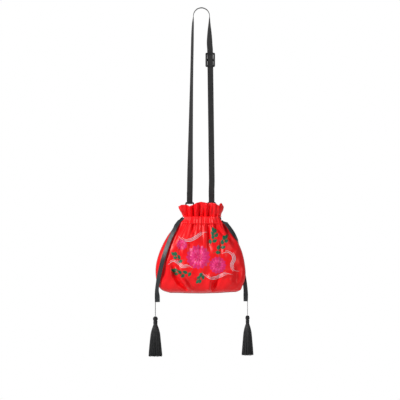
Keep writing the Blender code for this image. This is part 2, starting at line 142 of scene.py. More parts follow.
def make_floor():
    """A pale floor well below the tassels."""
    deselect()
    bpy.ops.mesh.primitive_plane_add(size=1, location=(0, FLOOR_BACK - FLOOR_DEPTH / 2, FLOOR_Z))
    floor = bpy.context.object
    floor.name = "floor"
    floor.scale = (FLOOR_WIDTH, FLOOR_DEPTH, 1)
    bpy.ops.object.transform_apply(location=True, rotation=True, scale=True)
    deselect()
    finish = bpy.data.materials.new("pale_floor")
    finish.use_nodes = True
    shader = finish.node_tree.nodes["Principled BSDF"]
    shader.inputs["Base Color"].default_value = (0.8, 0.8, 0.79, 1)
    shader.inputs["Roughness"].default_value = 0.8
    floor.data.materials.append(finish)


# --- helpers for shapes -----------------------------------------------------------------------

def smooth_curve(points, steps):
    """Points on a Catmull-Rom curve through rows of numbers, steps to a span."""
    rows = [Vector(p) for p in points]
    rows = [rows[0] * 2 - rows[1]] + rows + [rows[-1] * 2 - rows[-2]]
    out = []
    for a, b, c, d in zip(rows, rows[1:], rows[2:], rows[3:]):
        for k in range(steps):
            t = k / steps
            out.append(0.5 * (b * 2 + (c - a) * t + (a * 2 - b * 5 + c * 4 - d) * t * t
                              + (b * 3 - a - c * 3 + d) * t ** 3))
    out.append(rows[-2])
    return out


def sheet_object(name, grid):
    """A smooth mesh of quads from an array of points (rows, columns, 3), with a UV of its own."""
    rows, columns = grid.shape[:2]
    deselect()
    bpy.ops.mesh.primitive_grid_add(x_subdivisions=columns - 1, y_subdivisions=rows - 1, size=2)
    item = bpy.context.object
    item.name = item.data.name = name
    flat = np.empty(rows * columns * 3)
    item.data.vertices.foreach_get("co", flat)
    flat = flat.reshape(-1, 3)
    column = np.rint((flat[:, 0] + 1) / 2 * (columns - 1)).astype(int)
    row = np.rint((flat[:, 1] + 1) / 2 * (rows - 1)).astype(int)
    item.data.vertices.foreach_set("co", grid[row, column].ravel())
    item.data.update()
    item.data.shade_smooth()
    deselect()
    return item


def thicken(item, thickness):
    """Give a sheet its thickness, half to each side."""
    solid = item.modifiers.new("thickness", "SOLIDIFY")
    solid.thickness = thickness
    solid.offset = 0.0
    solid.use_even_offset = False
    select_only(item)
    bpy.ops.object.modifier_apply(modifier=solid.name)
    deselect()


def place_piece(item, material, body, node=None):
    """Give a piece its material and its body, and hide the frame's node that it stands for."""
    item.data.materials.append(material)
    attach(item, body)
    if node:
        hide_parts(node)
    return item


def surface_of(item):
    """A tree for finding points on a piece's surface."""
    bm = bmesh.new()
    bm.from_mesh(item.data)
    tree = BVHTree.FromBMesh(bm)
    bm.free()
    return tree


# --- materials --------------------------------------------------------------------------------

def new_group(name, inputs, outputs):
    """An empty shader node group; inputs are (name, kind, value) and outputs (name, kind)."""
    tree = bpy.data.node_groups.new(name, "ShaderNodeTree")
    for label, kind, value in inputs:
        socket = tree.interface.new_socket(name=label, in_out="INPUT", socket_type="NodeSocket" + kind)
        if value is not None:
            socket.default_value = value
    for label, kind in outputs:
        tree.interface.new_socket(name=label, in_out="OUTPUT", socket_type="NodeSocket" + kind)
    return tree, tree.nodes.new("NodeGroupInput"), tree.nodes.new("NodeGroupOutput")


def maths(tree, operation, first, second=None):
    """A Math node on one or two values or sockets; gives its output."""
    node = tree.nodes.new("ShaderNodeMath")
    node.operation = operation
    for socket, value in zip(node.inputs, (first, second)):
        if value is None:
            continue
        if isinstance(value, bpy.types.NodeSocket):
            tree.links.new(value, socket)
        else:
            socket.default_value = value
    return node.outputs[0]


def weave_group():
    """Threads crossing at right angles: Height goes over and under, Shade darkens the gaps."""
    inputs = (("Vector", "Vector", None), ("Across", "Float", 0.001), ("Along", "Float", 0.001))
    tree, given, out = new_group("weave", inputs, (("Height", "Float"), ("Shade", "Float")))
    split = tree.nodes.new("ShaderNodeSeparateXYZ")
    tree.links.new(given.outputs["Vector"], split.inputs[0])
    across = maths(tree, "DIVIDE", maths(tree, "MULTIPLY", split.outputs["X"], pi), given.outputs["Across"])
    along = maths(tree, "DIVIDE", maths(tree, "MULTIPLY", split.outputs["Y"], pi), given.outputs["Along"])
    warp = maths(tree, "SINE", across)
    weft = maths(tree, "SINE", along)
    height = maths(tree, "MULTIPLY", warp, weft)
    tree.links.new(height, out.inputs["Height"])
    tree.links.new(maths(tree, "ABSOLUTE", height), out.inputs["Shade"])
    return tree


def rib_group():
    """Twilled rows lying slanting across a band, as in narrow webbing; Shade is a painted-shade mask, low in
    the troughs between the rows and high on their crowns.
    """
    inputs = (("Vector", "Vector", None), ("Pitch", "Float", 0.001), ("Slant", "Float", 1.0))
    tree, given, out = new_group("rib", inputs, (("Height", "Float"), ("Shade", "Float")))
    split = tree.nodes.new("ShaderNodeSeparateXYZ")
    tree.links.new(given.outputs["Vector"], split.inputs[0])
    slanted = maths(tree, "MULTIPLY", maths(tree, "ABSOLUTE", split.outputs["X"]), given.outputs["Slant"])
    run = maths(tree, "ADD", split.outputs["Y"], slanted)
    phase = maths(tree, "DIVIDE", maths(tree, "MULTIPLY", run, pi), given.outputs["Pitch"])
    height = maths(tree, "ABSOLUTE", maths(tree, "SINE", phase))
    tree.links.new(height, out.inputs["Height"])
    tree.links.new(maths(tree, "POWER", height, 0.5), out.inputs["Shade"])
    return tree


def strand_group():
    """Fine fibres drawn out along one direction of the vector."""
    inputs = (("Vector", "Vector", None), ("Fineness", "Float", 400.0), ("Stretch", "Float", 0.05))
    tree, given, out = new_group("strands", inputs, (("Height", "Float"), ("Shade", "Float")))
    split = tree.nodes.new("ShaderNodeSeparateXYZ")
    join = tree.nodes.new("ShaderNodeCombineXYZ")
    tree.links.new(given.outputs["Vector"], split.inputs[0])
    tree.links.new(split.outputs["X"], join.inputs["X"])
    tree.links.new(maths(tree, "MULTIPLY", split.outputs["Y"], given.outputs["Stretch"]), join.inputs["Y"])
    tree.links.new(split.outputs["Z"], join.inputs["Z"])
    noise = tree.nodes.new("ShaderNodeTexNoise")
    noise.inputs["Detail"].default_value = 3.0
    tree.links.new(join.outputs[0], noise.inputs["Vector"])
    tree.links.new(given.outputs["Fineness"], noise.inputs["Scale"])
    tree.links.new(noise.outputs["Fac"], out.inputs["Height"])
    tree.links.new(noise.outputs["Fac"], out.inputs["Shade"])
    return tree


def mottle_group():
    """Slow unevenness over a piece, for colour and gloss that are never quite the same."""
    inputs = (("Vector", "Vector", None), ("Scale", "Float", 12.0))
    tree, given, out = new_group("mottle", inputs, (("Value", "Float"),))
    noise = tree.nodes.new("ShaderNodeTexNoise")
    noise.inputs["Detail"].default_value = 4.0
    tree.links.new(given.outputs["Vector"], noise.inputs["Vector"])
    tree.links.new(given.outputs["Scale"], noise.inputs["Scale"])
    tree.links.new(noise.outputs["Fac"], out.inputs["Value"])
    return tree


GROUPS = {"weave": weave_group(), "rib": rib_group(), "strands": strand_group(),
          "mottle": mottle_group()}


class Finish:
    """A material under construction: its shader, and short ways to add and join nodes."""

    def __init__(self, name, shader_values):
        self.material = bpy.data.materials.new(name)
        self.material.use_nodes = True
        self.tree = self.material.node_tree
        self.shader = self.tree.nodes["Principled BSDF"]
        for socket, value in shader_values.items():
            self.shader.inputs[socket].default_value = value
        self.where = self.tree.nodes.new("ShaderNodeTexCoord")

    def join(self, source, target):
        """Link one socket to another."""
        self.tree.links.new(source, target)

    def group(self, name, vector, **values):
        """Place a shared group, fed with "UV" or "Object" places."""
        node = self.tree.nodes.new("ShaderNodeGroup")
        node.node_tree = GROUPS[name]
        for socket, value in values.items():
            node.inputs[socket].default_value = value
        self.join(self.where.outputs[vector], node.inputs["Vector"])
        return node.outputs

    def scaled(self, value, low, high, start=0.0, end=1.0):
        """A value run from start..end to low..high."""
        node = self.tree.nodes.new("ShaderNodeMapRange")
        ends = {"From Min": start, "From Max": end, "To Min": low, "To Max": high}
        for socket, number in ends.items():
            node.inputs[socket].default_value = number
        self.join(value, node.inputs["Value"])
        return node.outputs[0]

    def between(self, share, first, second):
        """A colour between two colours or sockets, by a share."""
        node = self.tree.nodes.new("ShaderNodeMix")
        node.data_type = "RGBA"
        self.join(share, node.inputs["Factor"])
        for socket, colour in ((node.inputs[6], first), (node.inputs[7], second)):
            if isinstance(colour, bpy.types.NodeSocket):
                self.join(colour, socket)
            else:
                socket.default_value = (*colour, 1.0)
        return node.outputs[2]

    def colour(self, value):
        """Give the shader its base colour."""
        self.join(value, self.shader.inputs["Base Color"])

    def rough(self, value):
        """Give the shader its roughness."""
        self.join(value, self.shader.inputs["Roughness"])

    def bump(self, *layers):
        """Stack (height, strength, distance) layers of bump on the shader."""
        before = None
        for height, strength, distance in layers:
            node = self.tree.nodes.new("ShaderNodeBump")
            node.inputs["Strength"].default_value = strength
            node.inputs["Distance"].default_value = distance
            self.join(height, node.inputs["Height"])
            if before:
                self.join(before, node.inputs["Normal"])
            before = node.outputs[0]
        self.join(before, self.shader.inputs["Normal"])


SATIN_DEEP = (0.80, 0.002, 0.007)
SATIN_BRIGHT = (0.97, 0.004, 0.011)
SATIN_THREAD = (1.0, 0.012, 0.014)


def satin_finish():
    """Scarlet satin: a soft gloss over long floating threads, slightly uneven."""
    made = Finish("scarlet_satin", {"Sheen Weight": 0.06, "Sheen Roughness": 0.35,
                                    "Sheen Tint": (1.0, 0.25, 0.2, 1.0), "Anisotropic": 0.3,
                                    "Specular Tint": (1.0, 0.45, 0.42, 1.0),
                                    "Specular IOR Level": 0.6, "IOR": 1.5})
    mottle = made.group("mottle", "Object", Scale=16.0)["Value"]
    fine = made.group("strands", "UV", Fineness=900.0, Stretch=0.08)
    cloth = made.group("weave", "UV", Across=0.0005, Along=0.0009)
    base = made.between(made.scaled(mottle, 0.0, 1.0, 0.3, 0.7), SATIN_DEEP, SATIN_BRIGHT)
    threads = made.scaled(fine["Shade"], 0.0, 0.35, 0.35, 0.7)
    made.colour(made.between(threads, base, SATIN_THREAD))
    made.rough(made.scaled(mottle, 0.30, 0.42, 0.3, 0.7))
    made.bump((cloth["Height"], 0.12, 0.0001), (fine["Height"], 0.15, 0.00015))
    return made.material


SATIN = satin_finish()


# --- the pouch's cloth --------------------------------------------------------------------------

# height, left x, right x, front y, back y, as in the frame's own pouch
SECTIONS = (
    (-508, -60.2, 59, -36, 20), (-524, -55.5, 56.4, -31, 16), (-538, -48.5, 51.5, -25, 12),
    (-550, -51.5, 55, -25.5, 13), (-562, -63, 63.5, -29, 16.5), (-592, -87, 86, -36, 25),
    (-631, -107, 104.5, -41, 31), (-668, -117.5, 113, -43, 34.5), (-700, -117.5, 114.5, -41, 34),
    (-724, -110.5, 106.5, -33, 28), (-736, -98, 101, -21, 17), (-741, -80, 90, -2, -2),
)
SECTION_POWER = 2.6
CLOTH_GAP = 0.22
WALL = 1.0
CHANNEL_DEPTH = 2.2
OUTER_INSET = WALL / 2
HEM_INSET = WALL * 1.5 + CHANNEL_DEPTH
CLOTH_THICK = 0.5
GATHER_Z = -541.5               # upper row of the channel's stitching
CHANNEL_LOW_Z = -560.0          # its lower row
HEM_END_Z = -562.0
FRILL_TOP = {"front": -508.0, "back": -515.0}
COLUMNS = 176
NOTCH = (-558.0, -543.0)        # the openings at the side seams, for the ribbons
NOTCH_DEPTH = 4.8


def at_height(table, z):
    """Read a table of rows that start with a height, smoothly between its rows."""
    if z >= table[0][0]:
        return table[0][1:]
    if z <= table[-1][0]:
        return table[-1][1:]
    for k, (upper, lower) in enumerate(zip(table, table[1:])):
        if lower[0] <= z <= upper[0]:
            break
    t = (upper[0] - z) / (upper[0] - lower[0])
    before = table[max(k - 1, 0)]
    after = table[min(k + 2, len(table) - 1)]
    h = (2 * t ** 3 - 3 * t * t + 1, t ** 3 - 2 * t * t + t, 3 * t * t - 2 * t ** 3, t ** 3 - t * t)
    span = upper[0] - lower[0]
    values = []
    for column in range(1, len(upper)):
        start = (lower[column] - before[column]) / (before[0] - lower[0])
        end = (after[column] - upper[column]) / (upper[0] - after[0])
        values.append(h[0] * upper[column] + h[1] * span * start + h[2] * lower[column] + h[3] * span * end)
    return tuple(values)


def section(z, inset, side):
    """The pouch's outline at a height: middle x, seam y, half width and half depth to one side."""
    left, right, front, back = at_height(SECTIONS, z)
    seam_y = (front + back) / 2
    half_depth = (back - front) / 2 - inset
    return (left + right) / 2, seam_y, (right - left) / 2 - inset, half_depth * side


def wall_points(z, angles, inset, side):
    """Points round one side of the pouch at a height; angle 0 is the right seam, pi the left."""
    mid_x, seam_y, half_x, half_y = section(z, inset, side)
    power = 2 / SECTION_POWER
    x = mid_x + half_x * np.sign(np.cos(angles)) * np.abs(np.cos(angles)) ** power
    y = seam_y + half_y * np.abs(np.sin(angles)) ** power
    return np.stack([x, y, np.full(len(angles), z)], axis=1)


def even_angles(count):
    """Angles that part one side of the pouch into steps of like length."""
    fine = np.linspace(0, pi, 2001)
    points = wall_points(-640.0, fine, 0.0, -1)
    steps = np.r_[0, np.cumsum(np.linalg.norm(np.diff(points, axis=0), axis=1))]
    return np.interp(np.linspace(0, steps[-1], count), steps, fine)


def cloth_rows(top_z):
    """Rows of a panel, bottom seam to hem end: (height, inset, layer), 0 outside to 1 in the hem."""
    heights = [-740.5, -740.1, -739.5, -738.7, -737.6, -736.2, -734.6, -732.8]
    heights += list(np.linspace(-731, GATHER_Z, 126))
    heights += list(np.linspace(GATHER_Z + 1.2, top_z - 1.2, 27))
    rows = [(z, OUTER_INSET, 0.0) for z in heights]
    radius = (HEM_INSET - OUTER_INSET) / 2
    for k in range(1, 8):
        turn = pi * k / 8
        rows.append((top_z + (radius - 0.2) * sin(turn) * 0.6, OUTER_INSET + radius * (1 - cos(turn)), k / 8))
    rows += [(z, HEM_INSET, 1.0) for z in np.linspace(top_z - 1.2, HEM_END_Z, 30)]
    return rows


# Folds are (lean, ((x, z, depth, half width), ...)): depth is how far the cloth stands out along the
# line, and lean makes the flank on the line's right narrower (below 1) or wider
FRONT_FOLDS = (
    (1.0, ((-21, -504, -3, 3.5), (-22.9, -514, -6.5, 3.6), (-22.9, -530, -7.5, 3.2), (-22.6, -541, -4, 2.4),
           (-22.6, -552, -3, 2.6), (-22.6, -572, -3.5, 3), (-23.5, -588, 0, 6))),
    (1.0, ((-38, -508, -3, 3), (-38, -530, -4, 3), (-37, -543, -2.5, 2.2), (-37, -556, 0, 2))),
    (0.8, ((-4.5, -509, -1, 3), (-5.5, -517, -4.5, 3), (-5.5, -538, -5, 2.6), (-5.5, -548, -1, 2))),
    (1.0, ((8, -516, 0, 3), (6.5, -534, -3.5, 2.6), (6.5, -548, -2.5, 2), (7, -566, 0, 2))),
    (1.3, ((20, -506, -2, 3.6), (19, -530, -2.5, 3), (18.5, -541, -4, 2.6), (17.7, -560, -4, 2.6),
           (18.5, -590, -5, 3.2), (19.8, -616, -3, 4.5), (21, -640, 0, 8))),
    (1.0, ((-51, -509, 3, 4), (-47, -540, 2, 3))),
    (1.0, ((-14, -503, 2.5, 4), (-10, -515, 3.5, 3.5), (-14, -530, 3, 3), (-13, -543, 2, 3))),
    (1.0, ((36, -505, 2.5, 4.5), (33, -541, 2.5, 3.5), (30, -560, 1, 5))),
    (1.0, ((45, -508, 2, 3.5), (41, -541, 2.5, 3))),
    (1.0, ((-57, -514, 1.5, 2.4), (-50, -522, 2.6, 2.4), (-44, -532, 2.4, 2.2), (-42, -541, 1, 2))),
    (1.0, ((-31, -516, 2, 2.4), (-27.5, -524, 2.8, 2.2), (-28, -534, 2.4, 2), (-30, -541, 1, 2))),
    (1.0, ((14, -512, 2, 2.2), (11.5, -524, 2.6, 2.2), (12.5, -538, 2, 2))),
    (1.0, ((27, -514, 1, 2.4), (24.5, -526, 2.6, 2.2), (24, -540, 1.6, 2))),
    (1.0, ((52, -512, 1.2, 2.2), (49, -522, 2.4, 2.2), (45.5, -534, 2, 2), (44, -541, 1, 2))),
    (1.0, ((-54, -604, 0, 3), (-56, -619, -2.6, 3.4), (-57, -650, -3, 4), (-58, -668, -1, 5),
           (-58, -680, 0, 6))),
    (1.2, ((-29, -605, 0, 3), (-29.6, -616, -2.4, 3.4), (-30, -640, -1.8, 4.4), (-31, -656, 0, 6))),
    (1.0, ((-4, -608, 0, 3), (-4, -622, -2.2, 3.4), (-4, -650, -1.4, 4.4), (-4, -668, 0, 6))),
    (1.2, ((50, -600, 0, 3), (51, -614, -2.6, 3.4), (51.5, -650, -1.8, 5), (52, -676, 0, 7))),
    (1.4, ((58, -558, -2, 3), (61.6, -566, -4, 3.6), (77.2, -598, -4.5, 5),
           (86.3, -612, -3, 6), (94, -628, 0, 7))),
    (1.3, ((34, -560, -1, 3), (36, -565, -3, 3.4), (56.4, -587, -3, 4.4), (66, -600, 0, 5))),
    (1.0, ((-74, -655, 0, 4), (-75.4, -673, -4.5, 4.4), (-70, -696, -7, 4.6), (-59.5, -713.7, -7, 4.8),
           (-38.5, -729.6, -4, 4), (-28, -735, 0, 4))),
    (1.0, ((-65, -670, 0, 5), (-62, -684, 4, 5), (-48, -704.6, 4.5, 5.5),
           (-32, -722, 3.5, 5), (-22, -732, 1, 4))),
    (1.0, ((-47, -690, 0, 5), (-42, -704, 2, 5), (-33, -733, 3, 5))),
    (1.7, ((52, -684, 0, 4), (44, -697.8, -4, 4), (33.5, -715.5, -8, 4.4),
           (30, -731, -6, 4.4), (29, -738, -2, 4))),
    (1.0, ((25, -684, 0, 6), (22, -697, 2.4, 6), (19, -729, 3.4, 7))),
    (1.0, ((-14, -698, 0, 5), (-10.4, -704.7, -3, 5), (-7, -713, 0, 5))),
    (1.0, ((46, -700, 0, 5), (52, -696, 2.6, 5), (74, -689, 2, 6), (86, -687, 0, 6))),
    (1.0, ((-95, -640, 0, 6), (-100, -665, -2.4, 7), (-101, -690, -2, 7), (-97, -712, 0, 6))),
    (1.0, ((62, -700, 1, 9), (78, -716, 3, 10), (88, -726, 1, 8))),
    (1.0, ((88, -650, 0, 6), (94, -676, -2, 8), (94, -702, -2.4, 8), (86, -722, 0, 7))),
    (1.0, ((5, -640, 0, 9), (4, -668, 2, 12), (2, -700, 1.5, 12), (0, -718, 0, 9))),
)
BACK_FOLDS = (
    (1.0, ((-40, -514, -4, 4), (-38, -540, -3.5, 3), (-40, -575, -3, 4), (-46, -606, 0, 7))),
    (1.0, ((-18, -515, -5, 4), (-17, -540, -4.5, 3), (-18, -580, -3.5, 4), (-22, -625, 0, 8))),
    (1.0, ((4, -514, -4, 3.6), (5, -540, -4, 3), (4, -570, -2.5, 4), (3, -598, 0, 7))),
    (1.0, ((29, -514, -5, 4), (27, -540, -4, 3), (30, -585, -3.6, 4), (36, -630, 0, 8))),
    (1.0, ((-29, -514, 3, 5), (-28, -545, 2, 4))),
    (1.0, ((16, -514, 3, 5), (16, -545, 2, 4))),
    (1.0, ((44, -515, 3, 4), (40, -545, 2, 3))),
    (1.0, ((-70, -660, 0, 5), (-64, -690, -5, 6), (-44, -718, -5, 6), (-24, -732, 0, 5))),
    (1.0, ((70, -655, 0, 5), (66, -688, -5, 6), (46, -716, -5, 6), (30, -731, 0, 5))),
    (1.0, ((-8, -650, 0, 9), (-4, -690, 3, 10), (-2, -728, 1, 8))),
    (1.0, ((-90, -620, 0, 6), (-96, -660, -2.5, 7), (-92, -700, 0, 8))),
    (1.0, ((84, -610, 0, 6), (92, -655, -2.5, 7), (90, -700, 0, 8))),
)
FRILL_EDGE = (
    (-59.3, -516), (-50, -512.2), (-42, -511.7), (-32, -515.8), (-24, -512.7), (-11.7, -507), (-4.4, -505.2),
    (1, -504.7), (9.1, -506.2), (17.4, -507.5), (27.8, -507), (37.4, -508.8), (44.7, -514), (47.6, -513),
    (53, -507.5), (59.3, -517.9),
)
BACK_EDGE = (
    (-60, -518), (-46, -516), (-30, -518.5), (-14, -516), (2, -518.5), (18, -516), (34, -518), (46, -516),
    (60, -519),
)
FRILL_SWING = 1.85
BODY_SWING = 1.9
BOTTOM_Z = -741.0
# x, and how far the bottom rises there; it fades over BOTTOM_REACH above
BOTTOM_EDGE = (
    (-120, 0.5), (-98, 1.6), (-65, 1.4), (-30, 0.3), (3, 0), (45, 1.2), (84, 3.8), (101, 3.6), (116, 1),
)
BOTTOM_REACH = 42.0
STITCH_PINCH = ((GATHER_Z + 1.5, -1.7, 1.4), (CHANNEL_LOW_Z, -0.3, 1.5))    # height, depth, half width
CHANNEL_FOLDS = 0.85            # the channel keeps this much of the folds,
CHANNEL_DIP = -2.1              # dips no deeper than this,
CHANNEL_PUFF = 2.4              # and stands out this far over the ribbons
SLOW_WAVE = 0.55
PLEATS = 24
PLEAT_SEEDS = {"front": 11, "back": 23}
SEAM_REACH = 0.30               # folds die out towards the side seams


def fold_height(x, z, folds):
    """How far the folds lift the cloth at places (x, z), in mm."""
    lift = np.zeros_like(x)
    for lean, rows in folds:
        best = np.full(x.shape, 1e9)
        depth = np.zeros_like(x)
        width = np.ones_like(x)
        for (ax, az, ad, aw), (bx, bz, bd, bw) in zip(rows, rows[1:]):
            dx, dz = bx - ax, bz - az
            t = np.clip(((x - ax) * dx + (z - az) * dz) / (dx * dx + dz * dz), 0, 1)
            px, pz = ax + dx * t, az + dz * t
            away = np.hypot(x - px, z - pz)
            near = away < best
            best = np.where(near, away, best)
            depth = np.where(near, ad + (bd - ad) * t, depth)
            flank = np.where(x > px, lean, 1.0)
            width = np.where(near, (aw + (bw - aw) * t) * flank, width)
        lift += depth * np.exp(-(best / width) ** 2)
    return lift


def small_gathers(seed, count):
    """Short pleats that fan out from the gather, a little different each."""
    rng = np.random.default_rng(seed)
    folds = []
    for k in range(count):
        share = -0.95 + 1.9 * (k + 0.5 + rng.uniform(-0.3, 0.3)) / count
        reach = rng.uniform(14, 62)
        depth = rng.uniform(-2.2, -0.9)
        rise = rng.uniform(8, 24)
        start_x = 2.0 + 46 * share
        end_x = start_x + share * reach * 0.72
        rows = ((start_x + share * 3, GATHER_Z + rise, 0, 2.0), (start_x, GATHER_Z, depth, 1.5),
                (start_x * 1.12, CHANNEL_LOW_Z, depth, 1.7), (end_x, CHANNEL_LOW_Z - reach, 0, 3.5))
        folds.append((1.0, rows))
    return tuple(folds)


def bottom_rise(x, z):
    """How far the bottom seam's curve lifts the cloth at a place."""
    edge_x, edge_rise = np.array(BOTTOM_EDGE).T
    return np.interp(x, edge_x, edge_rise) * np.clip((BOTTOM_REACH + BOTTOM_Z - z) / BOTTOM_REACH, 0, 1)


def panel_grid(side, top_z, folds, edge):
    """One face of the pouch: its outside, its frill folded over, and the hem inside the channel."""
    angles = even_angles(COLUMNS)
    rows = cloth_rows(top_z)
    grid = np.stack([wall_points(z, angles, inset, side) for z, inset, _ in rows])
    grid[:, :, 1] += side * CLOTH_GAP
    layer = np.array([r[2] for r in rows])[:, None] * np.ones(COLUMNS)
    x = np.stack([wall_points(z, angles, 0, side)[:, 0] for z, _, _ in rows])
    z = grid[:, :, 2]
    outward = np.stack([np.cos(angles) * 0.5, side * np.abs(np.sin(angles)) ** 0.6, 0 * angles], axis=1)
    outward /= np.linalg.norm(outward, axis=1, keepdims=True)
    lift = fold_height(x, z, folds)
    for height, depth, width in STITCH_PINCH:
        lift += depth * np.exp(-((z - height) / width) ** 2) * (1 - layer)
    channel = np.clip((z - CHANNEL_LOW_Z + 2) / 3, 0, 1) * np.clip((GATHER_Z + 2 - z) / 3, 0, 1) * (1 - layer)
    lift = lift * (1 - channel) + channel * (np.maximum(lift * CHANNEL_FOLDS, CHANNEL_DIP) + CHANNEL_PUFF)
    slow = np.sin(x * 0.11 + z * 0.05) * np.sin(z * 0.09 - x * 0.04 + 1.3) + 0.5 * np.sin(x * 0.23 - z * 0.13)
    lift += SLOW_WAVE * slow * np.clip((-575 - z) / 60, 0, 1)
    lift *= np.where(z > GATHER_Z, FRILL_SWING, np.where(z < CHANNEL_LOW_Z, BODY_SWING, 1 - 0.6 * layer))
    window = np.clip(np.sin(angles) / SEAM_REACH, 0, 1) ** 1.2 * np.clip((z + 740.5) / 7, 0, 1) ** 0.7
    grid += outward[None] * (lift * window)[:, :, None]
    edge_x, edge_z = np.array(edge).T
    frill = np.clip((z - GATHER_Z) / (top_z - GATHER_Z), 0, 1.1)
    grid[:, :, 2] += frill * (np.interp(x, edge_x, edge_z) - top_z)
    grid[:, :, 2] += bottom_rise(x, grid[:, :, 2])
    return grid[:, ::-1] if side < 0 else grid


def set_cloth_uv(item, grid):
    """Lay the cloth out flat in its UV map, in metres."""
    u = np.zeros(grid.shape[:2])
    v = np.zeros(grid.shape[:2])
    u[:, 1:] = np.cumsum(np.linalg.norm(np.diff(grid, axis=1), axis=2), axis=1)
    v[1:] = np.cumsum(np.linalg.norm(np.diff(grid, axis=0), axis=2), axis=0)
    layer = item.data.uv_layers[0]
    spots = np.empty(len(item.data.loops) * 2, dtype=np.float32)
    layer.uv.foreach_get("vector", spots)
    spots = spots.reshape(-1, 2)
    rows, columns = grid.shape[:2]
    column = np.rint(spots[:, 0] * (columns - 1)).astype(int)
    row = np.rint(spots[:, 1] * (rows - 1)).astype(int)
    placed = np.stack([u[row, column], v[row, column]], axis=1).astype(np.float32)
    layer.uv.foreach_set("vector", placed.ravel())


def oval_depth(x, z, inset):
    """How far the wall stands from the side seams' plane at a place; 0 past its ends."""
    mid_x, _, half_x, half_y = section(z, inset, 1)
    share = min(abs(x - mid_x) / half_x, 1.0)
    return half_y * (1 - share ** SECTION_POWER) ** (1 / SECTION_POWER)


def notch_cloth(item):
    """Open the outer cloth at both side seams, where the drawstrings leave the channel."""
    bm = bmesh.new()
    bm.from_mesh(item.data)
    gone = []
    for face in bm.faces:
        middle = face.calc_center_median() / MM
        if not NOTCH[0] < middle.z < NOTCH[1]:
            continue
        mid_x, seam_y, half_x, _ = section(middle.z, OUTER_INSET, 1)
        outer = oval_depth(middle.x, middle.z, OUTER_INSET)
        hem = oval_depth(middle.x, middle.z, HEM_INSET)
        outside = abs(middle.y - seam_y) > (outer + hem) / 2 or hem == 0
        if outside and abs(middle.x - mid_x) > half_x - NOTCH_DEPTH:
            gone.append(face)
    bmesh.ops.delete(bm, geom=gone, context="FACES")
    bm.to_mesh(item.data)
    bm.free()


def make_pouch():
    """Both panels of the pouch, as gathered cloth."""
    panels = {}
    for name, side, folds, edge in (("front", -1, FRONT_FOLDS, FRILL_EDGE),
                                    ("back", 1, BACK_FOLDS, BACK_EDGE)):
        folds += small_gathers(PLEAT_SEEDS[name], PLEATS)
        grid = panel_grid(side, FRILL_TOP[name], folds, edge) * MM
        item = sheet_object(name + "_panel", grid)
        set_cloth_uv(item, grid)
        notch_cloth(item)
        panels[name + "_panel"] = item
    return panels


# --- skins: closed shapes carried along a line ---------------------------------------------------

class Skins:
    """Closed skins gathered into one mesh, each through rings of like points in mm."""

    def __init__(self):
        self.points = []
        self.faces = []
        self.spots = []

    def add(self, rings, around, along, closed=False):
        """One skin; around gives each ring point's place across and along each ring's length."""
        start = len(self.points)
        count = len(rings[0])
        for ring, length in zip(rings, along):
            self.points += [tuple(p) for p in ring]
            self.spots += [(a, length) for a in around]
        last = len(rings) if closed else len(rings) - 1
        for k in range(last):
            here = start + k * count
            there = start + (k + 1) % len(rings) * count
            for j in range(count):
                after = (j + 1) % count
                self.faces.append((here + j, here + after, there + after, there + j))
        if not closed:
            self.faces.append(tuple(start + j for j in range(count))[::-1])
            self.faces.append(tuple(start + (len(rings) - 1) * count + j for j in range(count)))

    def build(self, name, smooth_angle=50):
        """Make the object, its normals outwards and its UV in metres."""
        data = bpy.data.meshes.new(name)
        data.from_pydata([Vector(p) * MM for p in self.points], [], self.faces)
        layer = data.uv_layers.new(name="UVMap")
        for loop in data.loops:
            spot = self.spots[loop.vertex_index]
            layer.data[loop.index].uv = (spot[0] * MM, spot[1] * MM)
        bm = bmesh.new()
        bm.from_mesh(data)
        bmesh.ops.recalc_face_normals(bm, faces=bm.faces)
        bm.to_mesh(data)
        bm.free()
        item = bpy.data.objects.new(name, data)
        bpy.context.scene.collection.objects.link(item)
        select_only(item)
        bpy.ops.object.shade_smooth_by_angle(angle=radians(smooth_angle))
        deselect()
        return item


def lengths_of(points):
    """Distance along a line of points, at each point."""
    out = [0.0]
    for a, b in zip(points, points[1:]):
        out.append(out[-1] + (b - a).length)
    return out


# across as a share of half the width, and height as a share of half the thickness
WEBBING_EDGE = ((-1, 0.3), (-0.965, 0.85), (-0.9, 1.1), (-0.8, 1.0), (-0.4, 0.96), (0, 1.0), (0.4, 0.96),
                (0.8, 1.0), (0.9, 1.1), (0.965, 0.85), (1, 0.3))
RIBBON_EDGE = ((-1, 0.4), (-0.97, 1.0), (-0.85, 1.0), (-0.6, 1.0), (-0.3, 1.0), (0, 1.0), (0.3, 1.0),
               (0.6, 1.0), (0.85, 1.0), (0.97, 1.0), (1, 0.4))


def add_band(skins, stations, thickness, edge, wave=None):
    """A band through (middle, sideways, width); wave(share, length, half) lifts it off its plane."""
    middles = [s[0] for s in stations]
    along = lengths_of(middles)
    loop = list(edge) + [(a, -b) for a, b in reversed(edge)]
    rings = []
    for k, (middle, side, width) in enumerate(stations):
        run = (middles[min(k + 1, len(middles) - 1)] - middles[max(k - 1, 0)]).normalized()
        face = side.cross(run).normalized()
        half = width / 2
        ring = []
        for a, b in loop:
            lift = wave(a, along[k], half) if wave else 0.0
            ring.append(middle + side * (a * half) + face * (b * thickness / 2 + lift))
        rings.append(ring)
    widest = max(s[2] for s in stations) / 2
    skins.add(rings, [a * widest for a, _ in loop], along)


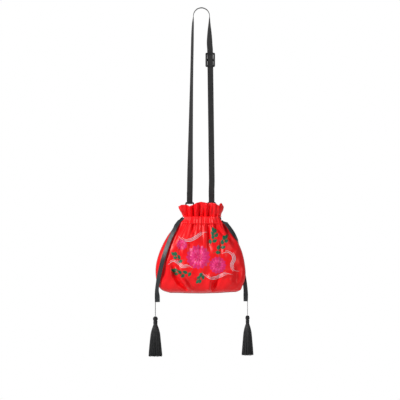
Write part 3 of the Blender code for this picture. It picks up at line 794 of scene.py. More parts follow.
def add_tube(skins, points, radius, sides=8, closed=False, radii=None):
    """A round cord or wire through points, capped at its ends."""
    along = lengths_of(points)
    last = len(points) - 1
    rings = []
    turned = None
    for k, point in enumerate(points):
        if closed:
            run = (points[(k + 1) % len(points)] - points[k - 1]).normalized()
        else:
            run = (points[min(k + 1, last)] - points[max(k - 1, 0)]).normalized()
        if turned is None:
            turned = run.orthogonal().normalized()
        turned = (turned - run * turned.dot(run)).normalized()
        other = run.cross(turned)
        r = radii[k] if radii else radius
        turns = [tau * j / sides for j in range(sides)]
        rings.append([point + (turned * cos(a) + other * sin(a)) * r for a in turns])
    around = [radius * tau * j / sides for j in range(sides)]
    skins.add(rings, around, along, closed)


# share of the way along a stitch, and its rise as a share of its radius
STITCH_ARCH = ((0, -0.9), (0.08, 0.1), (0.3, 0.6), (0.7, 0.6), (0.92, 0.1), (1, -0.9))


def add_stitch(skins, start, end, radius, face):
    """One short stitch lying on the cloth, its ends going down into it."""
    points = [start.lerp(end, share) + face * (rise * radius) for share, rise in STITCH_ARCH]
    add_tube(skins, points, radius, sides=6)


# --- webbing, slide and rings ---------------------------------------------------------------------

def webbing_finish():
    """Black narrow webbing: twilled rows in a herringbone, painted lighter on the rows' crowns and painted
    shade in the troughs between them.
    """
    made = Finish("black_webbing", {"Specular IOR Level": 0.35, "Sheen Weight": 0.15,
                                    "Sheen Roughness": 0.5})
    rows = made.group("rib", "UV", Pitch=0.0011, Slant=0.8)
    mottle = made.group("mottle", "Object", Scale=60.0)["Value"]
    fibre = made.group("strands", "UV", Fineness=2200.0, Stretch=0.3)
    # painted shade: the colour is darker in the troughs between the twill rows and lighter on their crowns
    base = made.between(rows["Shade"], (0.004, 0.004, 0.0045), (0.017, 0.0165, 0.017))
    made.colour(made.between(made.scaled(mottle, 0.0, 0.5, 0.4, 0.75), base, (0.027, 0.026, 0.0265)))
    made.rough(made.scaled(fibre["Shade"], 0.6, 0.85, 0.3, 0.7))
    made.bump((rows["Height"], 0.6, 0.00022), (fibre["Height"], 0.3, 0.0001))
    return made.material


def plastic_finish():
    """Black moulded plastic, finely grained, a little shinier where it is handled."""
    made = Finish("black_slide", {"Specular IOR Level": 0.5})
    mottle = made.group("mottle", "Object", Scale=90.0)["Value"]
    grain = made.group("mottle", "Object", Scale=1400.0)["Value"]
    worn = made.scaled(mottle, 0.0, 1.0, 0.35, 0.7)
    made.colour(made.between(worn, (0.009, 0.009, 0.010), (0.020, 0.020, 0.021)))
    made.rough(made.scaled(mottle, 0.30, 0.48, 0.3, 0.7))
    made.bump((grain, 0.15, 0.0001),)
    return made.material


def enamel_finish():
    """Black enamelled wire, scuffed in places."""
    made = Finish("black_ring_enamel", {"Specular IOR Level": 0.1, "Coat Weight": 0.02,
                                        "Coat Roughness": 0.3})
    mottle = made.group("mottle", "Object", Scale=220.0)["Value"]
    scuffed = made.scaled(mottle, 0.0, 1.0, 0.5, 0.75)
    made.colour(made.between(scuffed, (0.002, 0.002, 0.0025), (0.008, 0.008, 0.009)))
    made.rough(made.scaled(mottle, 0.35, 0.55, 0.35, 0.7))
    made.bump((mottle, 0.1, 0.00015),)
    return made.material


WEBBING = webbing_finish()
SLIDE_PLASTIC = plastic_finish()
RING_ENAMEL = enamel_finish()

GAP = 0.3
STRAP_WIDTH = 15.0
STRAP_THICK = 1.2
STRAP_TOP_RADIUS = 21.0
STRAP_TOP_X = 0.4
STRAP_TOP_STEPS = 20
# height, x, turn from edge-on
LEFT_RUN = ((-21, -20.6, 0), (-38, -21.7, 15), (-60, -22.6, 22), (-96, -23.4, 26), (-203, -25.5, 32),
            (-354, -28.1, 55), (-440, -29.3, 80), (-470, -29.7, 90))
RIGHT_RUN = ((-21, 21.4, 0), (-45, 21.1, 22), (-70, 21.3, 52), (-92, 21.6, 78), (-108, 22.7, 90))
RUN_STEPS = 7
RIGHT_TOP = (-108, 21.7)
RING_X = {"left": -30.2, "right": 26.8}
STRAP_FRONT_Y = -0.6
STRAP_BACK_Y = 0.9
LEFT_END_Z = -478.0
RIGHT_END_Z = -492.0
FOLD_STRAIGHT = 7.5             # above the ring's bar, where the folded webbing runs straight
FOLD_CLOSING = 3.6              # and where it starts to close in
FOLD_SHARE = 0.55
FOLD_STEPS = 12
RING_WIRE = 2.8
RING_PAINT = 0.4
RING_OUTER_WIDTH = 22.4
RING_CORNER = 2.6
CORNER_STEPS = 7
BAR_CLEARANCE = 0.5
SLIDE_MID_Z = -134.7
SLIDE_BAR = 6.0
SLIDE_BACK_Y = 3.5
SLIDE_HOLD = ((92, 0.0), (112, 1.2), (455, 1.2), (478, 0.0))      # depth down the strap, outward shift
SLOT_SIDE = (8.4, 10.4)          # how far from the slide's middle its slots' side walls lie
SLOT_SIDE_MOVE = 1.0
SLIDE_ROUNDING = 0.5
END_FOLD = (-12.0, -20.0)        # below the slide's middle: the tail's top and the fold's end
TAIL_STEPS = 23
TAB_WIDTH = 12.0
TAB_THICK = 0.9
TAB_END_Z = -553.0
TAB_STEPS = 10
STRAP_STITCH_ROWS = {"left": (-482.0, -494.5), "right": (-484.0, -494.5)}
ACROSS = Vector((1, 0, 0))


def right_run_x(z):
    """X of the strap's right run, which the slide holds a little outwards."""
    depths, shifts = zip(*SLIDE_HOLD)
    share = (RIGHT_TOP[0] - z) / (RIGHT_TOP[0] - RING_TOP_Z)
    straight = RIGHT_TOP[1] + (RING_X["right"] - RIGHT_TOP[1]) * share
    return straight + float(np.interp(-z, depths, shifts))


def strap_fold(x, end_z):
    """The webbing's way round a ring's top bar, front to back and up to end_z."""
    radius = RING_WIRE / 2 + RING_PAINT + BAR_CLEARANCE + STRAP_THICK / 2
    inner = radius * (1 - FOLD_SHARE)
    route = [(STRAP_FRONT_Y, RING_TOP_Z + FOLD_STRAIGHT),
             (STRAP_FRONT_Y * FOLD_SHARE - inner, RING_TOP_Z + FOLD_CLOSING)]
    for k in range(FOLD_STEPS + 1):
        angle = pi + pi * k / FOLD_STEPS
        route.append((radius * cos(angle), RING_TOP_Z + radius * sin(angle)))
    route += [(STRAP_BACK_Y * FOLD_SHARE + inner, RING_TOP_Z + FOLD_CLOSING),
              (STRAP_BACK_Y, RING_TOP_Z + FOLD_STRAIGHT), (STRAP_BACK_Y, end_z)]
    return [(Vector((x, y, z)), ACROSS) for y, z in route]


def twisted_run(run):
    """Stations down one run: the webbing turns from edge-on to face-on."""
    out = []
    for z, x, turn in smooth_curve(run, RUN_STEPS):
        angle = radians(turn)
        out.append((Vector((x, STRAP_FRONT_Y * sin(angle), z)), Vector((sin(angle), -cos(angle), 0))))
    return out


def web_piece(name, stations, node, body, width=STRAP_WIDTH, thickness=STRAP_THICK):
    """A piece of webbing that stands for a node."""
    skins = Skins()
    add_band(skins, [(p, s, width) for p, s in stations], thickness, WEBBING_EDGE)
    return place_piece(skins.build(name), WEBBING, body, node)


def make_strap():
    """The long webbing, its end sewn behind at the left ring."""
    stations = list(reversed(strap_fold(RING_X["left"], LEFT_END_Z)))
    stations += reversed(twisted_run(LEFT_RUN))
    for k in range(1, STRAP_TOP_STEPS):
        angle = pi - pi * k / STRAP_TOP_STEPS
        middle = Vector((cos(angle), 0, sin(angle))) * STRAP_TOP_RADIUS
        middle += Vector((STRAP_TOP_X, 0, STRAP_THICK / 2 - STRAP_TOP_RADIUS))
        stations.append((middle, Vector((0, -1, 0))))
    stations += twisted_run(RIGHT_RUN)
    stations += [(Vector((right_run_x(z), STRAP_FRONT_Y, z)), ACROSS) for z in range(-130, -490, -20)]
    stations += strap_fold(RING_X["right"], RIGHT_END_Z)
    web_piece("strap_webbing", stations, "shoulder_strap", "strap")


def make_tail():
    """The webbing's other end, behind the strap from the right ring up to the slide."""
    top = SLIDE_MID_Z + END_FOLD[0] - GAP
    low = RIGHT_END_Z + GAP
    heights = [low + (top - low) * k / TAIL_STEPS for k in range(TAIL_STEPS + 1)]
    stations = [(Vector((right_run_x(z), STRAP_BACK_Y, z)), ACROSS) for z in heights]
    item = web_piece("strap_tail_webbing", stations, "strap_tail", "strap")
    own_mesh(item)


def make_end_fold():
    """The webbing's end, folded over the slide's centre bar and sewn to itself."""
    x = right_run_x(SLIDE_MID_Z)
    front = STRAP_BACK_Y
    back = SLIDE_BACK_Y + GAP + STRAP_THICK / 2
    over = SLIDE_BAR / 2 + GAP + STRAP_THICK / 2
    sewn = front + STRAP_THICK + GAP
    route = ((front, END_FOLD[0]), (front, -6), (front, 0), (front, over - 0.9), (front + 0.7, over - 0.1),
             ((front + back) / 2, over), (back - 0.7, over - 0.1), (back, over - 0.9), (back, 0),
             (back, -over + 0.5), (sewn + 1, -over - 3), (sewn, -over - 6), (sewn, -15), (sewn, END_FOLD[1]))
    stations = [(Vector((x, y, SLIDE_MID_Z + z)), ACROSS) for y, z in route]
    web_piece("strap_end_webbing", stations, "strap_end_fold", "adjuster")


def make_slide():
    """The frame's own slide, its slots a little narrower and its edges rounded by the mould."""
    item = bpy.data.objects.new("slide", bpy.data.objects["adjuster"].data.copy())
    item.data.materials.clear()
    xs = [v.co.x for v in item.data.vertices]
    middle = (min(xs) + max(xs)) / 2
    for vertex in item.data.vertices:
        if SLOT_SIDE[0] < abs(vertex.co.x - middle) / MM < SLOT_SIDE[1]:
            vertex.co.x += SLOT_SIDE_MOVE * MM * (1 if vertex.co.x < middle else -1)
    bpy.context.scene.collection.objects.link(item)
    select_only(item)
    bpy.ops.object.mode_set(mode="EDIT")
    bpy.ops.mesh.select_all(action="SELECT")
    bpy.ops.mesh.remove_doubles(threshold=0.00002)
    bpy.ops.mesh.dissolve_limited(angle_limit=radians(2))
    bpy.ops.object.mode_set(mode="OBJECT")
    edge = item.modifiers.new("rounded", "BEVEL")
    edge.width = SLIDE_ROUNDING * MM
    edge.segments = 2
    edge.limit_method = "ANGLE"
    edge.angle_limit = radians(30)
    edge.use_clamp_overlap = True
    bpy.ops.object.modifier_apply(modifier=edge.name)
    bpy.ops.object.shade_smooth_by_angle(angle=radians(35))
    deselect()
    place_piece(item, SLIDE_PLASTIC, "adjuster", "adjuster")


def make_ring(side):
    """A rounded rectangle of round wire."""
    half = RING_OUTER_WIDTH / 2 - RING_WIRE / 2 - RING_CORNER
    top, low = RING_TOP_Z - RING_CORNER, RING_BAR_Z + RING_CORNER
    points = []
    for x, z, start in ((half, top, 0), (-half, top, 90), (-half, low, 180), (half, low, 270)):
        for k in range(CORNER_STEPS + 1):
            angle = radians(start + 90 * k / CORNER_STEPS)
            points.append(Vector((RING_X[side] + x + RING_CORNER * cos(angle), 0,
                                  z + RING_CORNER * sin(angle))))
    skins = Skins()
    add_tube(skins, points, RING_WIRE / 2 + RING_PAINT, sides=20, closed=True)
    place_piece(skins.build("wire_ring_" + side), RING_ENAMEL, side + "_ring", "ring_" + side)


def make_tab(side):
    """Tape round the ring's lower bar, both ends sewn to the hem inside the back."""
    x = RING_X[side]
    radius = RING_WIRE / 2 + RING_PAINT + BAR_CLEARANCE + TAB_THICK / 2
    inset = WALL * 2 + CHANNEL_DEPTH
    low = min(section(z, inset, 1)[1] + oval_depth(x + dx, z, inset)
              for dx in (-TAB_WIDTH / 2, TAB_WIDTH / 2) for z in (-534, -543, TAB_END_Z))
    back = low - GAP - TAB_THICK / 2
    front = back - TAB_THICK - GAP
    route = [(back, TAB_END_Z), (back, -544), (back, -536), ((back + radius) / 2, -527)]
    for k in range(TAB_STEPS + 1):
        route.append((radius * cos(pi * k / TAB_STEPS), RING_BAR_Z + radius * sin(pi * k / TAB_STEPS)))
    route += [((front - radius) / 2, -527), (front, -536), (front, -544), (front, TAB_END_Z)]
    stations = [(Vector((x, y, z)), ACROSS) for y, z in route]
    web_piece("tab_tape_" + side, stations, "ring_tab_" + side, "pouch", TAB_WIDTH, TAB_THICK)


def make_strap_stitches():
    """Two rows of stitching by each ring, where the webbing is sewn to itself."""
    skins = Skins()
    y = STRAP_FRONT_Y - STRAP_THICK / 2 - 0.05
    for side, rows in STRAP_STITCH_ROWS.items():
        for z in rows:
            middle = RING_X["left"] if side == "left" else right_run_x(z)
            for k in range(-3, 4):
                start = Vector((middle + k * 1.9 - 0.8, y, z))
                add_stitch(skins, start, start + Vector((1.6, 0, 0)), 0.24, Vector((0, -1, 0)))
    place_piece(skins.build("strap_stitching"), THREAD["black_thread"], "strap")


# --- drawstring ribbons ---------------------------------------------------------------------------

RIBBON_DEEP = (0.008, 0.0095, 0.011)
RIBBON_BRIGHT = (0.026, 0.030, 0.033)
RIBBON_BLOOM = (0.038, 0.043, 0.047)


def ribbon_finish():
    """Slate-black satin ribbon: fine lengthwise threads and a soft sheen."""
    made = Finish("slate_ribbon", {"Specular IOR Level": 0.42, "Anisotropic": 0.5, "Sheen Weight": 0.1,
                                   "Sheen Roughness": 0.4, "Sheen Tint": (0.8, 0.9, 1.0, 1.0)})
    threads = made.group("strands", "UV", Fineness=2600.0, Stretch=0.03)
    cloth = made.group("weave", "UV", Across=0.0003, Along=0.0006)
    mottle = made.group("mottle", "Object", Scale=45.0)["Value"]
    base = made.between(made.scaled(threads["Shade"], 0.0, 1.0, 0.3, 0.7), RIBBON_DEEP, RIBBON_BRIGHT)
    made.colour(made.between(made.scaled(mottle, 0.0, 0.6, 0.35, 0.7), base, RIBBON_BLOOM))
    made.rough(made.scaled(mottle, 0.32, 0.5, 0.3, 0.7))
    made.bump((cloth["Height"], 0.2, 0.0001), (threads["Height"], 0.35, 0.0002))
    return made.material


def thread_finish(name, deep, bright, roughness, sheen, gloss):
    """Twisted or drawn thread in one colour family."""
    made = Finish(name, {"Specular IOR Level": gloss, "Sheen Weight": sheen, "Sheen Roughness": 0.4})
    fibre = made.group("strands", "UV", Fineness=3000.0, Stretch=0.04)
    mottle = made.group("mottle", "Object", Scale=150.0)["Value"]
    base = made.between(made.scaled(fibre["Shade"], 0.0, 1.0, 0.3, 0.7), deep, bright)
    made.colour(made.between(made.scaled(mottle, 0.0, 0.5, 0.4, 0.75), base, bright))
    made.rough(made.scaled(fibre["Shade"], roughness - 0.08, roughness + 0.1, 0.3, 0.7))
    made.bump((fibre["Height"], 0.5, 0.0002),)
    return made.material


RIBBON = ribbon_finish()
# name: deep colour, bright colour, roughness, sheen, gloss
THREADS = {
    "black_thread": ((0.002, 0.0022, 0.0026), (0.009, 0.0095, 0.011), 0.5, 0.03, 0.5),
    "red_thread": ((0.62, 0.002, 0.006), (0.90, 0.006, 0.013), 0.5, 0.05, 0.3),
    # the seam lips' colour: the satin's red darkened, as painted shade along the side and bottom seams
    "seam_red_painted_shade": ((0.12, 0.001, 0.003), (0.26, 0.002, 0.006), 0.7, 0.0, 0.05),
    "grey_cord": ((0.05, 0.05, 0.052), (0.20, 0.20, 0.205), 0.6, 0.1, 0.5),
    "pale_grey_cord": ((0.22, 0.22, 0.225), (0.52, 0.52, 0.53), 0.6, 0.1, 0.5),
    "magenta_silk": ((0.50, 0.003, 0.075), (0.80, 0.008, 0.17), 0.38, 0.15, 0.5),
    "pink_silk": ((0.66, 0.01, 0.13), (0.92, 0.045, 0.27), 0.38, 0.15, 0.5),
    "green_silk": ((0.0, 0.07, 0.03), (0.002, 0.15, 0.065), 0.45, 0.04, 0.5),
    "silver_blue_silk": ((0.34, 0.70, 0.80), (0.60, 0.92, 1.0), 0.34, 0.15, 0.5),
}
THREAD = {name: thread_finish(name, *looks) for name, looks in THREADS.items()}

RIBBON_THICK = 0.7
RIBBON_GATHERED = 7.0           # its width where it is drawn up in the channel
CHANNEL_Z = {"left": -546.2, "right": -554.4}
STRAND_GAP = 0.6
CHANNEL_START = 32.0            # degrees past its own notch
CHANNEL_STEPS = 46
ROUTE_STEPS = 9
# x, y, z, turn from the front, tilt, width
LEFT_ROUTE = (
    (-113.8, -17, -763.5, 0, 0, 12.8), (-114.2, -17.5, -748, 0, 0, 13), (-114.6, -19, -727, 0, 0, 9.5),
    (-107.5, -33.5, -687, 14, 0, 11), (-97.8, -37.5, -648, 20, 0, 11), (-82.5, -33, -603, 24, 5, 11),
    (-69, -28, -574, 20, 15, 11), (-57, -20.5, -553, 10, 15, 8.5),
)
LEFT_BACK_EXIT = ((-66, -20, -562, 40, 30, 11), (-58, -6, -549, 80, 40, 9), (-49, 1, -546.4, 140, 10, 7))
RIGHT_ROUTE = (
    (115.8, 17, -763.5, 180, 0, 11.2), (116, 18, -748, 180, 0, 12), (115.4, 20, -730, 180, 0, 11),
    (112, 23.5, -705, 172, 0, 11.5), (107, 25.5, -680, 160, 0, 12), (101, 26, -655, 146, 0, 12),
    (99, 20, -631, 124, 8, 12), (97, 6, -611, 86, 12, 12), (89, -15, -594, 58, 15, 12),
    (77, -23, -577, 34, 15, 12), (64, -21, -559, 12, 15, 9),
)
RIGHT_BACK_EXIT = ((70, -12, -565, 45, 35, 11), (62, -2, -556, 85, 40, 9), (54, 0, -554.4, 140, 10, 7))


def facing(turn, lift, outward):
    """The ribbon's outer face: turned from the front towards its own side, and tilted up."""
    turn, lift = radians(turn), radians(lift)
    return Vector((outward * sin(turn) * cos(lift), -cos(turn) * cos(lift), sin(lift)))


def channel_run(side):
    """The ribbon inside the channel: from its own notch round the far side and back again."""
    inset = WALL + CHANNEL_DEPTH / 2
    own = 1 if side == "right" else -1
    heights = (CHANNEL_Z[side] + RIBBON_GATHERED / 2, CHANNEL_Z[side] - RIBBON_GATHERED / 2)
    first = radians(CHANNEL_START)
    out = []
    for k in range(CHANNEL_STEPS + 1):
        turn = first + (2 * pi - 2 * first) * k / CHANNEL_STEPS
        face = -1 if turn < pi else 1
        angle = turn if turn < pi else 2 * pi - turn
        if own < 0:
            angle = pi - angle
        top, foot = (Vector(wall_points(z, np.array([angle]), inset, face)[0]) for z in heights)
        out.append(((top + foot) / 2, (foot - top).normalized() * -own, RIBBON_GATHERED))
    return out


def strand_stations(rows, outward, gap):
    """Stations of a free strand, gap behind the route."""
    places = [Vector(r[:3]) - facing(r[3], r[4], outward) * gap for r in rows]
    out = []
    for k, (place, row) in enumerate(zip(places, rows)):
        along = places[min(k + 1, len(rows) - 1)] - places[max(k - 1, 0)]
        out.append((place, along.cross(facing(row[3], row[4], outward)).normalized(), row[5]))
    return out


def ribbon_wave(share, length, half):
    """The ribbon's pleats near its sewn end, and a faint cup and ripple further up."""
    pleat = 0.28 * cos(share * 7.5) * max(0.0, 1 - length / 46) ** 0.5
    ripple = 0.12 * sin(length * 0.16) * share + 0.1 * sin(length * 0.37 + share * 2)
    return pleat + ripple * min(1.0, length / 30)


def make_ribbon(side, route, back_exit):
    """One drawstring: up its front strand, round the channel, and down its back strand."""
    outward = 1 if side == "right" else -1
    back_route = route[:-1] + back_exit
    front = strand_stations(smooth_curve(route, ROUTE_STEPS), outward, 0.0)
    back = strand_stations(smooth_curve(back_route, ROUTE_STEPS), outward, RIBBON_THICK + STRAND_GAP)
    channel = channel_run(side)
    for name, stations in (("ribbon_", front + channel), ("ribbon_back_strand_", back + channel[-1:])):
        skins = Skins()
        add_band(skins, stations, RIBBON_THICK * 0.75, RIBBON_EDGE, ribbon_wave)
        item = place_piece(skins.build(name + side), RIBBON, "pouch", "drawstring_" + side)


# --- tassels ----------------------------------------------------------------------------------------

CORD_TOP_Z = -763.5
PLY_OFFSET = 0.5
PLY_RADIUS = 0.62
CORD_STEPS = 60
CORD_TWISTS = 7
CORD_COLOUR = {"left": "grey_cord", "right": "pale_grey_cord"}
TASSEL_SIZE = {"left": 1.0, "right": 0.86}
# radius, height
HEAD_PROFILE = ((0.6, -800.6), (2.6, -800.9), (4.9, -802.6), (6.0, -805.2), (6.1, -807.6),
                (5.2, -810.6), (3.6, -812.2))
NECK_CORE = ((4.9, -812.6), (4.9, -821.2))
NECK_PROFILE = ((5.2, -812.9), (5.0, -821.0))
HEAD_TURNS = 12
NECK_TURNS = 9
# depth below the strap's top, radius
SKIRT_PROFILE = ((821.5, 4.8), (829, 8.2), (845, 12.2), (875, 15.2), (903, 17.6))
FRINGE_RINGS = ((52, 1.0), (44, 0.86), (34, 0.68), (22, 0.46))      # threads, share of the radius
THREAD_RADIUS = 0.95
THREAD_TAPER = (0.7, 0.8, 0.9, 1, 1, 1, 0.95, 0.7)


def add_wound(skins, centre, profile, turns, radius):
    """Thread wound round a turned profile, from its top to its foot."""
    steps = turns * 18
    shares = np.linspace(0, 1, steps)
    runs = np.r_[0, np.cumsum([np.hypot(b[0] - a[0], b[1] - a[1]) for a, b in zip(profile, profile[1:])])]
    reach = np.interp(shares * runs[-1], runs, [p[0] for p in profile])
    height = np.interp(shares * runs[-1], runs, [p[1] for p in profile])
    points = []
    for share, r, z in zip(shares, reach, height):
        angle = tau * turns * share
        points.append(Vector((centre[0] + r * cos(angle), centre[1] + r * sin(angle), z)))
    add_tube(skins, points, radius, sides=6)


def add_turned(skins, centre, profile, sides=24):
    """A plain turned core."""
    rings = []
    for r, z in profile:
        rings.append([Vector((centre[0] + r * cos(tau * j / sides), centre[1] + r * sin(tau * j / sides), z))
                      for j in range(sides)])
    skins.add(rings, [tau * j for j in range(sides)], [-p[1] for p in profile])


def make_cord(side, centre):
    """The twisted cord of two plies, drawn in where it enters the tassel's head."""
    low = CORD_LOW[side].z / MM
    skins = Skins()
    for ply in (0, pi):
        points, radii = [], []
        for k in range(CORD_STEPS + 1):
            angle = ply + tau * CORD_TWISTS * k / CORD_STEPS
            drawn_in = min(1.0, 0.35 + 0.22 * (CORD_STEPS - k))
            offset = PLY_OFFSET * drawn_in
            points.append(Vector((centre[0] + offset * cos(angle), centre[1] + offset * sin(angle),
                                  CORD_TOP_Z + (low - CORD_TOP_Z) * k / CORD_STEPS)))
            radii.append(PLY_RADIUS * drawn_in)
        add_tube(skins, points, PLY_RADIUS, sides=8, radii=radii)
    cord = place_piece(skins.build("twisted_cord_" + side), THREAD[CORD_COLOUR[side]], side + "_tassel_cord",
                       "tassel_cord_" + side)


def make_fringe(skins, centre, size, rng):
    """Rings of threads that hang from the neck and spread towards their feet."""
    depths, reaches = zip(*SKIRT_PROFILE)
    for count, share in FRINGE_RINGS:
        for k in range(count):
            angle = tau * (k + rng.uniform(-0.35, 0.35)) / count
            drift = rng.uniform(-0.05, 0.05)
            bend = rng.uniform(-0.6, 0.6)
            foot = -depths[-1] + rng.uniform(-1.2, 1.6)
            spread = share * rng.uniform(0.93, 1.03)
            points = []
            for step in range(len(THREAD_TAPER)):
                run = step / (len(THREAD_TAPER) - 1)
                z = -depths[0] + (foot + depths[0]) * run
                r = np.interp(-z, depths, reaches) * size * (0.95 + 0.05 * run) * spread
                r = max(r, 1.0) + bend * sin(pi * run) * run
                turn = angle + drift * run
                points.append(Vector((centre[0] + r * cos(turn), centre[1] + r * sin(turn), z)))
            thick = THREAD_RADIUS * rng.uniform(0.85, 1.1)
            add_tube(skins, points, thick, sides=5, radii=[thick * f for f in THREAD_TAPER])


def make_tassel(side, rng):
    """A tassel on its cord: the wound head and neck, and the fringe of threads."""
    size = TASSEL_SIZE[side]
    centre = (CORD_LOW[side].x / MM, CORD_LOW[side].y / MM)
    make_cord(side, centre)
    head, neck, fringe = Skins(), Skins(), Skins()
    add_turned(head, centre, [(r * size * 0.93, z) for r, z in HEAD_PROFILE])
    add_wound(head, centre, [(r * size, z) for r, z in HEAD_PROFILE], HEAD_TURNS, 0.55)
    add_turned(neck, centre, [(r * size, z) for r, z in NECK_CORE])
    add_wound(neck, centre, [(r * size, z) for r, z in NECK_PROFILE], NECK_TURNS, 0.5)
    make_fringe(fringe, centre, size, rng)
    for skins, name, node, smooth_angle in ((head, "wound_head_", "head", 60),
                                            (neck, "wound_neck_", "binding", 60),
                                            (fringe, "thread_fringe_", "fringe", 80)):
        place_piece(skins.build(name + side, smooth_angle), THREAD["black_thread"], side + "_tassel",
                    "tassel_%s_%s" % (node, side))


# --- embroidery ---------------------------------------------------------------------------------------

CLOTH_FACE = CLOTH_THICK / 2
STITCH_SHARES = (-1, -0.6, 0, 0.6, 1)
PETAL_STEPS = 7


def on_front(x, z, lift):
    """A place on the pouch's front, lifted off the cloth, in mm."""
    hit, normal, _, _ = SURFACE["front_panel"].ray_cast(Vector((x * MM, -0.3, z * MM)), Vector((0, 1, 0)))
    if normal.y > 0:
        normal = -normal
    return hit / MM + normal * lift


def add_satin_stitch(skins, line, widths, height):
    """A raised bar of satin stitch along a line of (x, z), following the cloth."""
    spots = [Vector((x, z, 0)) for x, z in line]
    along = lengths_of(spots)
    rings = []
    for k, spot in enumerate(spots):
        run = (spots[min(k + 1, len(spots) - 1)] - spots[max(k - 1, 0)]).normalized()
        side = Vector((-run.y, run.x, 0))
        crown = height * min(1.0, widths[k] / max(widths) + 0.15)
        upper, lower = [], []
        for share in STITCH_SHARES:
            place = spot + side * (share * widths[k])
            upper.append(on_front(place.x, place.y, CLOTH_FACE + 0.06 + crown * (1 - share * share)))
            lower.append(on_front(place.x, place.y, CLOTH_FACE - 0.2))
        rings.append(upper + lower[::-1])
    skins.add(rings, [share * max(widths) for share in STITCH_SHARES + STITCH_SHARES[::-1]], along)


def petal(skins, x, z, turn, start, end, width, height, bend=0.0, blunt=0.8):
    """One petal or leaf, out from a centre at an angle."""
    line, widths = [], []
    for k in range(PETAL_STEPS):
        share = k / (PETAL_STEPS - 1)
        reach = start + (end - start) * share
        angle = turn + bend * share * share
        line.append((x + reach * cos(angle), z + reach * sin(angle)))
        widths.append(max(width * sin(pi * (0.06 + 0.88 * share ** blunt)) ** 0.8, 0.12))
    add_satin_stitch(skins, line, widths, height)


# start and end as shares of the bloom's radius, petals fewer than in the first ring, is it the outer colour
PETAL_RINGS = ((0.50, 1.00, 0, True), (0.28, 0.70, 2, False), (0.10, 0.42, 6, True))
HEART_PETALS = 5


def bloom(outer, inner, x, z, radius, count):
    """A round many-petalled blossom: three rings of petals and a heart of small ones."""
    for ring, (start, end, fewer, is_outer) in enumerate(PETAL_RINGS):
        number = count - fewer
        width = radius * (start * 0.35 + end * 0.65) * sin(pi / number)
        for k in range(number):
            turn = tau * (k + 0.5 * ring) / number
            petal(outer if is_outer else inner, x, z, turn, radius * start, radius * end, width,
                  0.55 + 0.2 * ring, blunt=1.5)
    for k in range(HEART_PETALS):
        petal(inner, x, z, tau * k / HEART_PETALS, 0.3, radius * 0.15, radius * 0.05, 0.7)


def sprig(skins, line, length, width, start_side):
    """A curving stem with leaves to each side of it and one at its tip."""
    points = [(p.x, p.y) for p in smooth_curve([(x, z, 0) for x, z in line], 6)]
    add_satin_stitch(skins, points, [0.45] * len(points), 0.3)
    count = len(line) * 2 - 2
    for k in range(1, count + 1):
        at = min(int(k / count * (len(points) - 1)), len(points) - 2)
        x, z = points[at]
        run = np.arctan2(points[at + 1][1] - z, points[at + 1][0] - x)
        side = start_side * (1 if k % 2 else -1)
        grown = length * (0.8 + 0.2 * ((k * 7) % 5) / 4)
        petal(skins, x, z, run + side * 0.9, 0.6, grown, width, 0.5, bend=-side * 0.35)
    x, z = points[-1]
    run = np.arctan2(z - points[-2][1], x - points[-2][0])
    petal(skins, x, z, run, 0.2, length, width, 0.5)


# across as a share of the gap, and where each bar starts and ends along the stream
STREAM_BARS = ((-1.0, 0.0, 0.86), (0.1, 0.10, 1.0), (1.1, 0.32, 0.80))


def stream(skins, line, gap):
    """Running water: three bars of satin stitch side by side, each drawn out thin at its ends."""
    curve = smooth_curve([(x, z, 0) for x, z in line], 12)
    for across, start, end in STREAM_BARS:
        first = int(start * (len(curve) - 1))
        last = int(end * (len(curve) - 1))
        points, widths = [], []
        for k in range(first, last + 1):
            spot = curve[k]
            run = (curve[min(k + 1, len(curve) - 1)] - curve[max(k - 1, 0)]).normalized()
            points.append((spot.x - run.y * across * gap, spot.y + run.x * across * gap))
            widths.append(0.14 + 0.38 * sin(pi * (k - first) / (last - first)) ** 0.7)
        add_satin_stitch(skins, points, widths, 0.35)


BLOOMS = ((-8, -646, 31, 16), (42, -667, 22, 14), (-50, -614, 14, 11))
SPRIGS = (
    (((20, -618), (28, -606), (34, -594), (32, -582)), 13.0, 4.4, 1),
    (((30, -636), (44, -628), (56, -614), (62, -600)), 13.5, 4.6, -1),
    (((-22, -680), (-36, -688), (-52, -690), (-66, -684)), 13.0, 4.4, 1),
    (((2, -682), (2, -692), (-6, -704)), 12.0, 4.2, -1),
    (((-42, -654), (-56, -652), (-68, -642)), 12.0, 4.2, 1),
)
STREAMS = (
    (((-88, -664), (-74, -654), (-60, -660), (-48, -670), (-34, -668), (-22, -674)), 3.0),
    (((-58, -590), (-44, -600), (-28, -602), (-12, -594), (2, -584), (16, -582)), 3.1),
    (((52, -634), (66, -630), (80, -638), (84, -652), (78, -666), (84, -680), (98, -684)), 3.2),
    (((4, -684), (18, -696), (34, -700), (50, -694), (64, -688), (80, -692)), 3.0),
)


def make_embroidery():
    """The blossoms, leaves and running water worked in silk on the front."""
    worked = {name: Skins() for name in ("magenta", "pink", "green", "silver")}
    for spec in BLOOMS:
        bloom(worked["magenta"], worked["pink"], *spec)
    for line, length, width, side in SPRIGS:
        sprig(worked["green"], line, length, width, side)
    for line, gap in STREAMS:
        stream(worked["silver"], line, gap)
    silks = {"magenta": "magenta_silk", "pink": "pink_silk", "green": "green_silk",
             "silver": "silver_blue_silk"}
    return [place_piece(skins.build("embroidery_" + name, 60), THREAD[silks[name]], "pouch")
            for name, skins in worked.items()]


def seam_place(z, across):
    """A place on a side seam: across is -1 on the left and 1 on the right."""
    mid_x, seam_y, half_x, _ = section(z, OUTER_INSET, 1)
    return Vector((mid_x + across * (half_x - 0.2), seam_y, z))


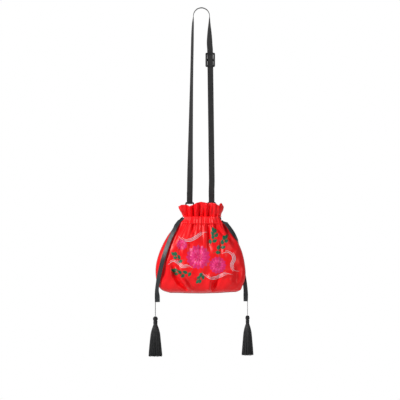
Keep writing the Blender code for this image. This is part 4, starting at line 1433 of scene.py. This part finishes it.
def make_seam_lips():
    """The rolled lips where the two panels are sewn together: down both sides and along the bottom, in a dark
    red that is painted shade along the seams.
    """
    skins = Skins()
    heights = np.linspace(-558.8, -740.2, 90)
    mid_x, seam_y, half_x, _ = section(-740.5, OUTER_INSET, 1)
    edge = half_x - 1.5
    seam = [seam_place(z, -1) for z in heights]
    seam += [Vector((mid_x + x, seam_y, BOTTOM_Z + 0.1)) for x in np.linspace(-edge, edge, 80)]
    seam += [seam_place(z, 1) for z in heights[::-1]]
    seam = [spot + Vector((0, 0, float(bottom_rise(spot.x, spot.z)))) for spot in seam]
    add_tube(skins, seam, 0.95, sides=8)
    for across, top in ((-1, -517.5), (1, -519.5)):
        add_tube(skins, [seam_place(z, across) for z in np.linspace(top, -542.6, 14)], 0.65, sides=8)
    # the lips take the dark red that stands for painted shade along the seams
    return place_piece(skins.build("seam_lips", 80), THREAD["seam_red_painted_shade"], "pouch")


STITCH_PITCH = 3.0
STITCH_LENGTH = 2.2
STITCH_RADIUS = 0.26
SEAM_CLEAR = 13.0               # the rows stop this far from the side seams


def make_channel_stitches(name, side, panel):
    """The two rows of stitching that make the channel, following the gathers."""
    skins = Skins()
    outward = Vector((0, side, 0))
    for z in (GATHER_Z, CHANNEL_LOW_Z):
        mid_x, _, half_x, _ = section(z, 0, side)
        half = half_x - SEAM_CLEAR
        for k in range(int(half * 2 / STITCH_PITCH)):
            start = mid_x - half + STITCH_PITCH * k
            ends = []
            for x in (start, start + STITCH_LENGTH):
                hit, _, _, _ = SURFACE[panel].ray_cast(Vector((x * MM, side * 0.3, z * MM)), -outward)
                if hit is not None:
                    ends.append(hit / MM + outward * (CLOTH_FACE + 0.05))
            if len(ends) == 2:
                add_stitch(skins, ends[0], ends[1], STITCH_RADIUS, outward)
    return place_piece(skins.build(name), THREAD["red_thread"], "pouch")


# --- making it all ------------------------------------------------------------------------------------

make_camera()
make_light()
make_floor()
PANELS = make_pouch()
SURFACE = {name: surface_of(item) for name, item in PANELS.items()}
SEWN_ON = {
    "front_panel": make_embroidery() + [make_channel_stitches("channel_stitching_front", -1, "front_panel")],
    "back_panel": [make_seam_lips(), make_channel_stitches("channel_stitching_back", 1, "back_panel")],
}
for name, node in (("front_panel", "pouch_front"), ("back_panel", "pouch_back")):
    thicken(PANELS[name], CLOTH_THICK * MM)
    place_piece(PANELS[name], SATIN, "pouch", node)
make_strap()
make_tail()
make_end_fold()
make_strap_stitches()
make_slide()
for ring_side in ("left", "right"):
    make_ring(ring_side)
    make_tab(ring_side)
make_ribbon("left", LEFT_ROUTE, LEFT_BACK_EXIT)
make_ribbon("right", RIGHT_ROUTE, RIGHT_BACK_EXIT)
FRINGE_DRAWS = np.random.default_rng(5)
for tassel_side in ("left", "right"):
    make_tassel(tassel_side, FRINGE_DRAWS)
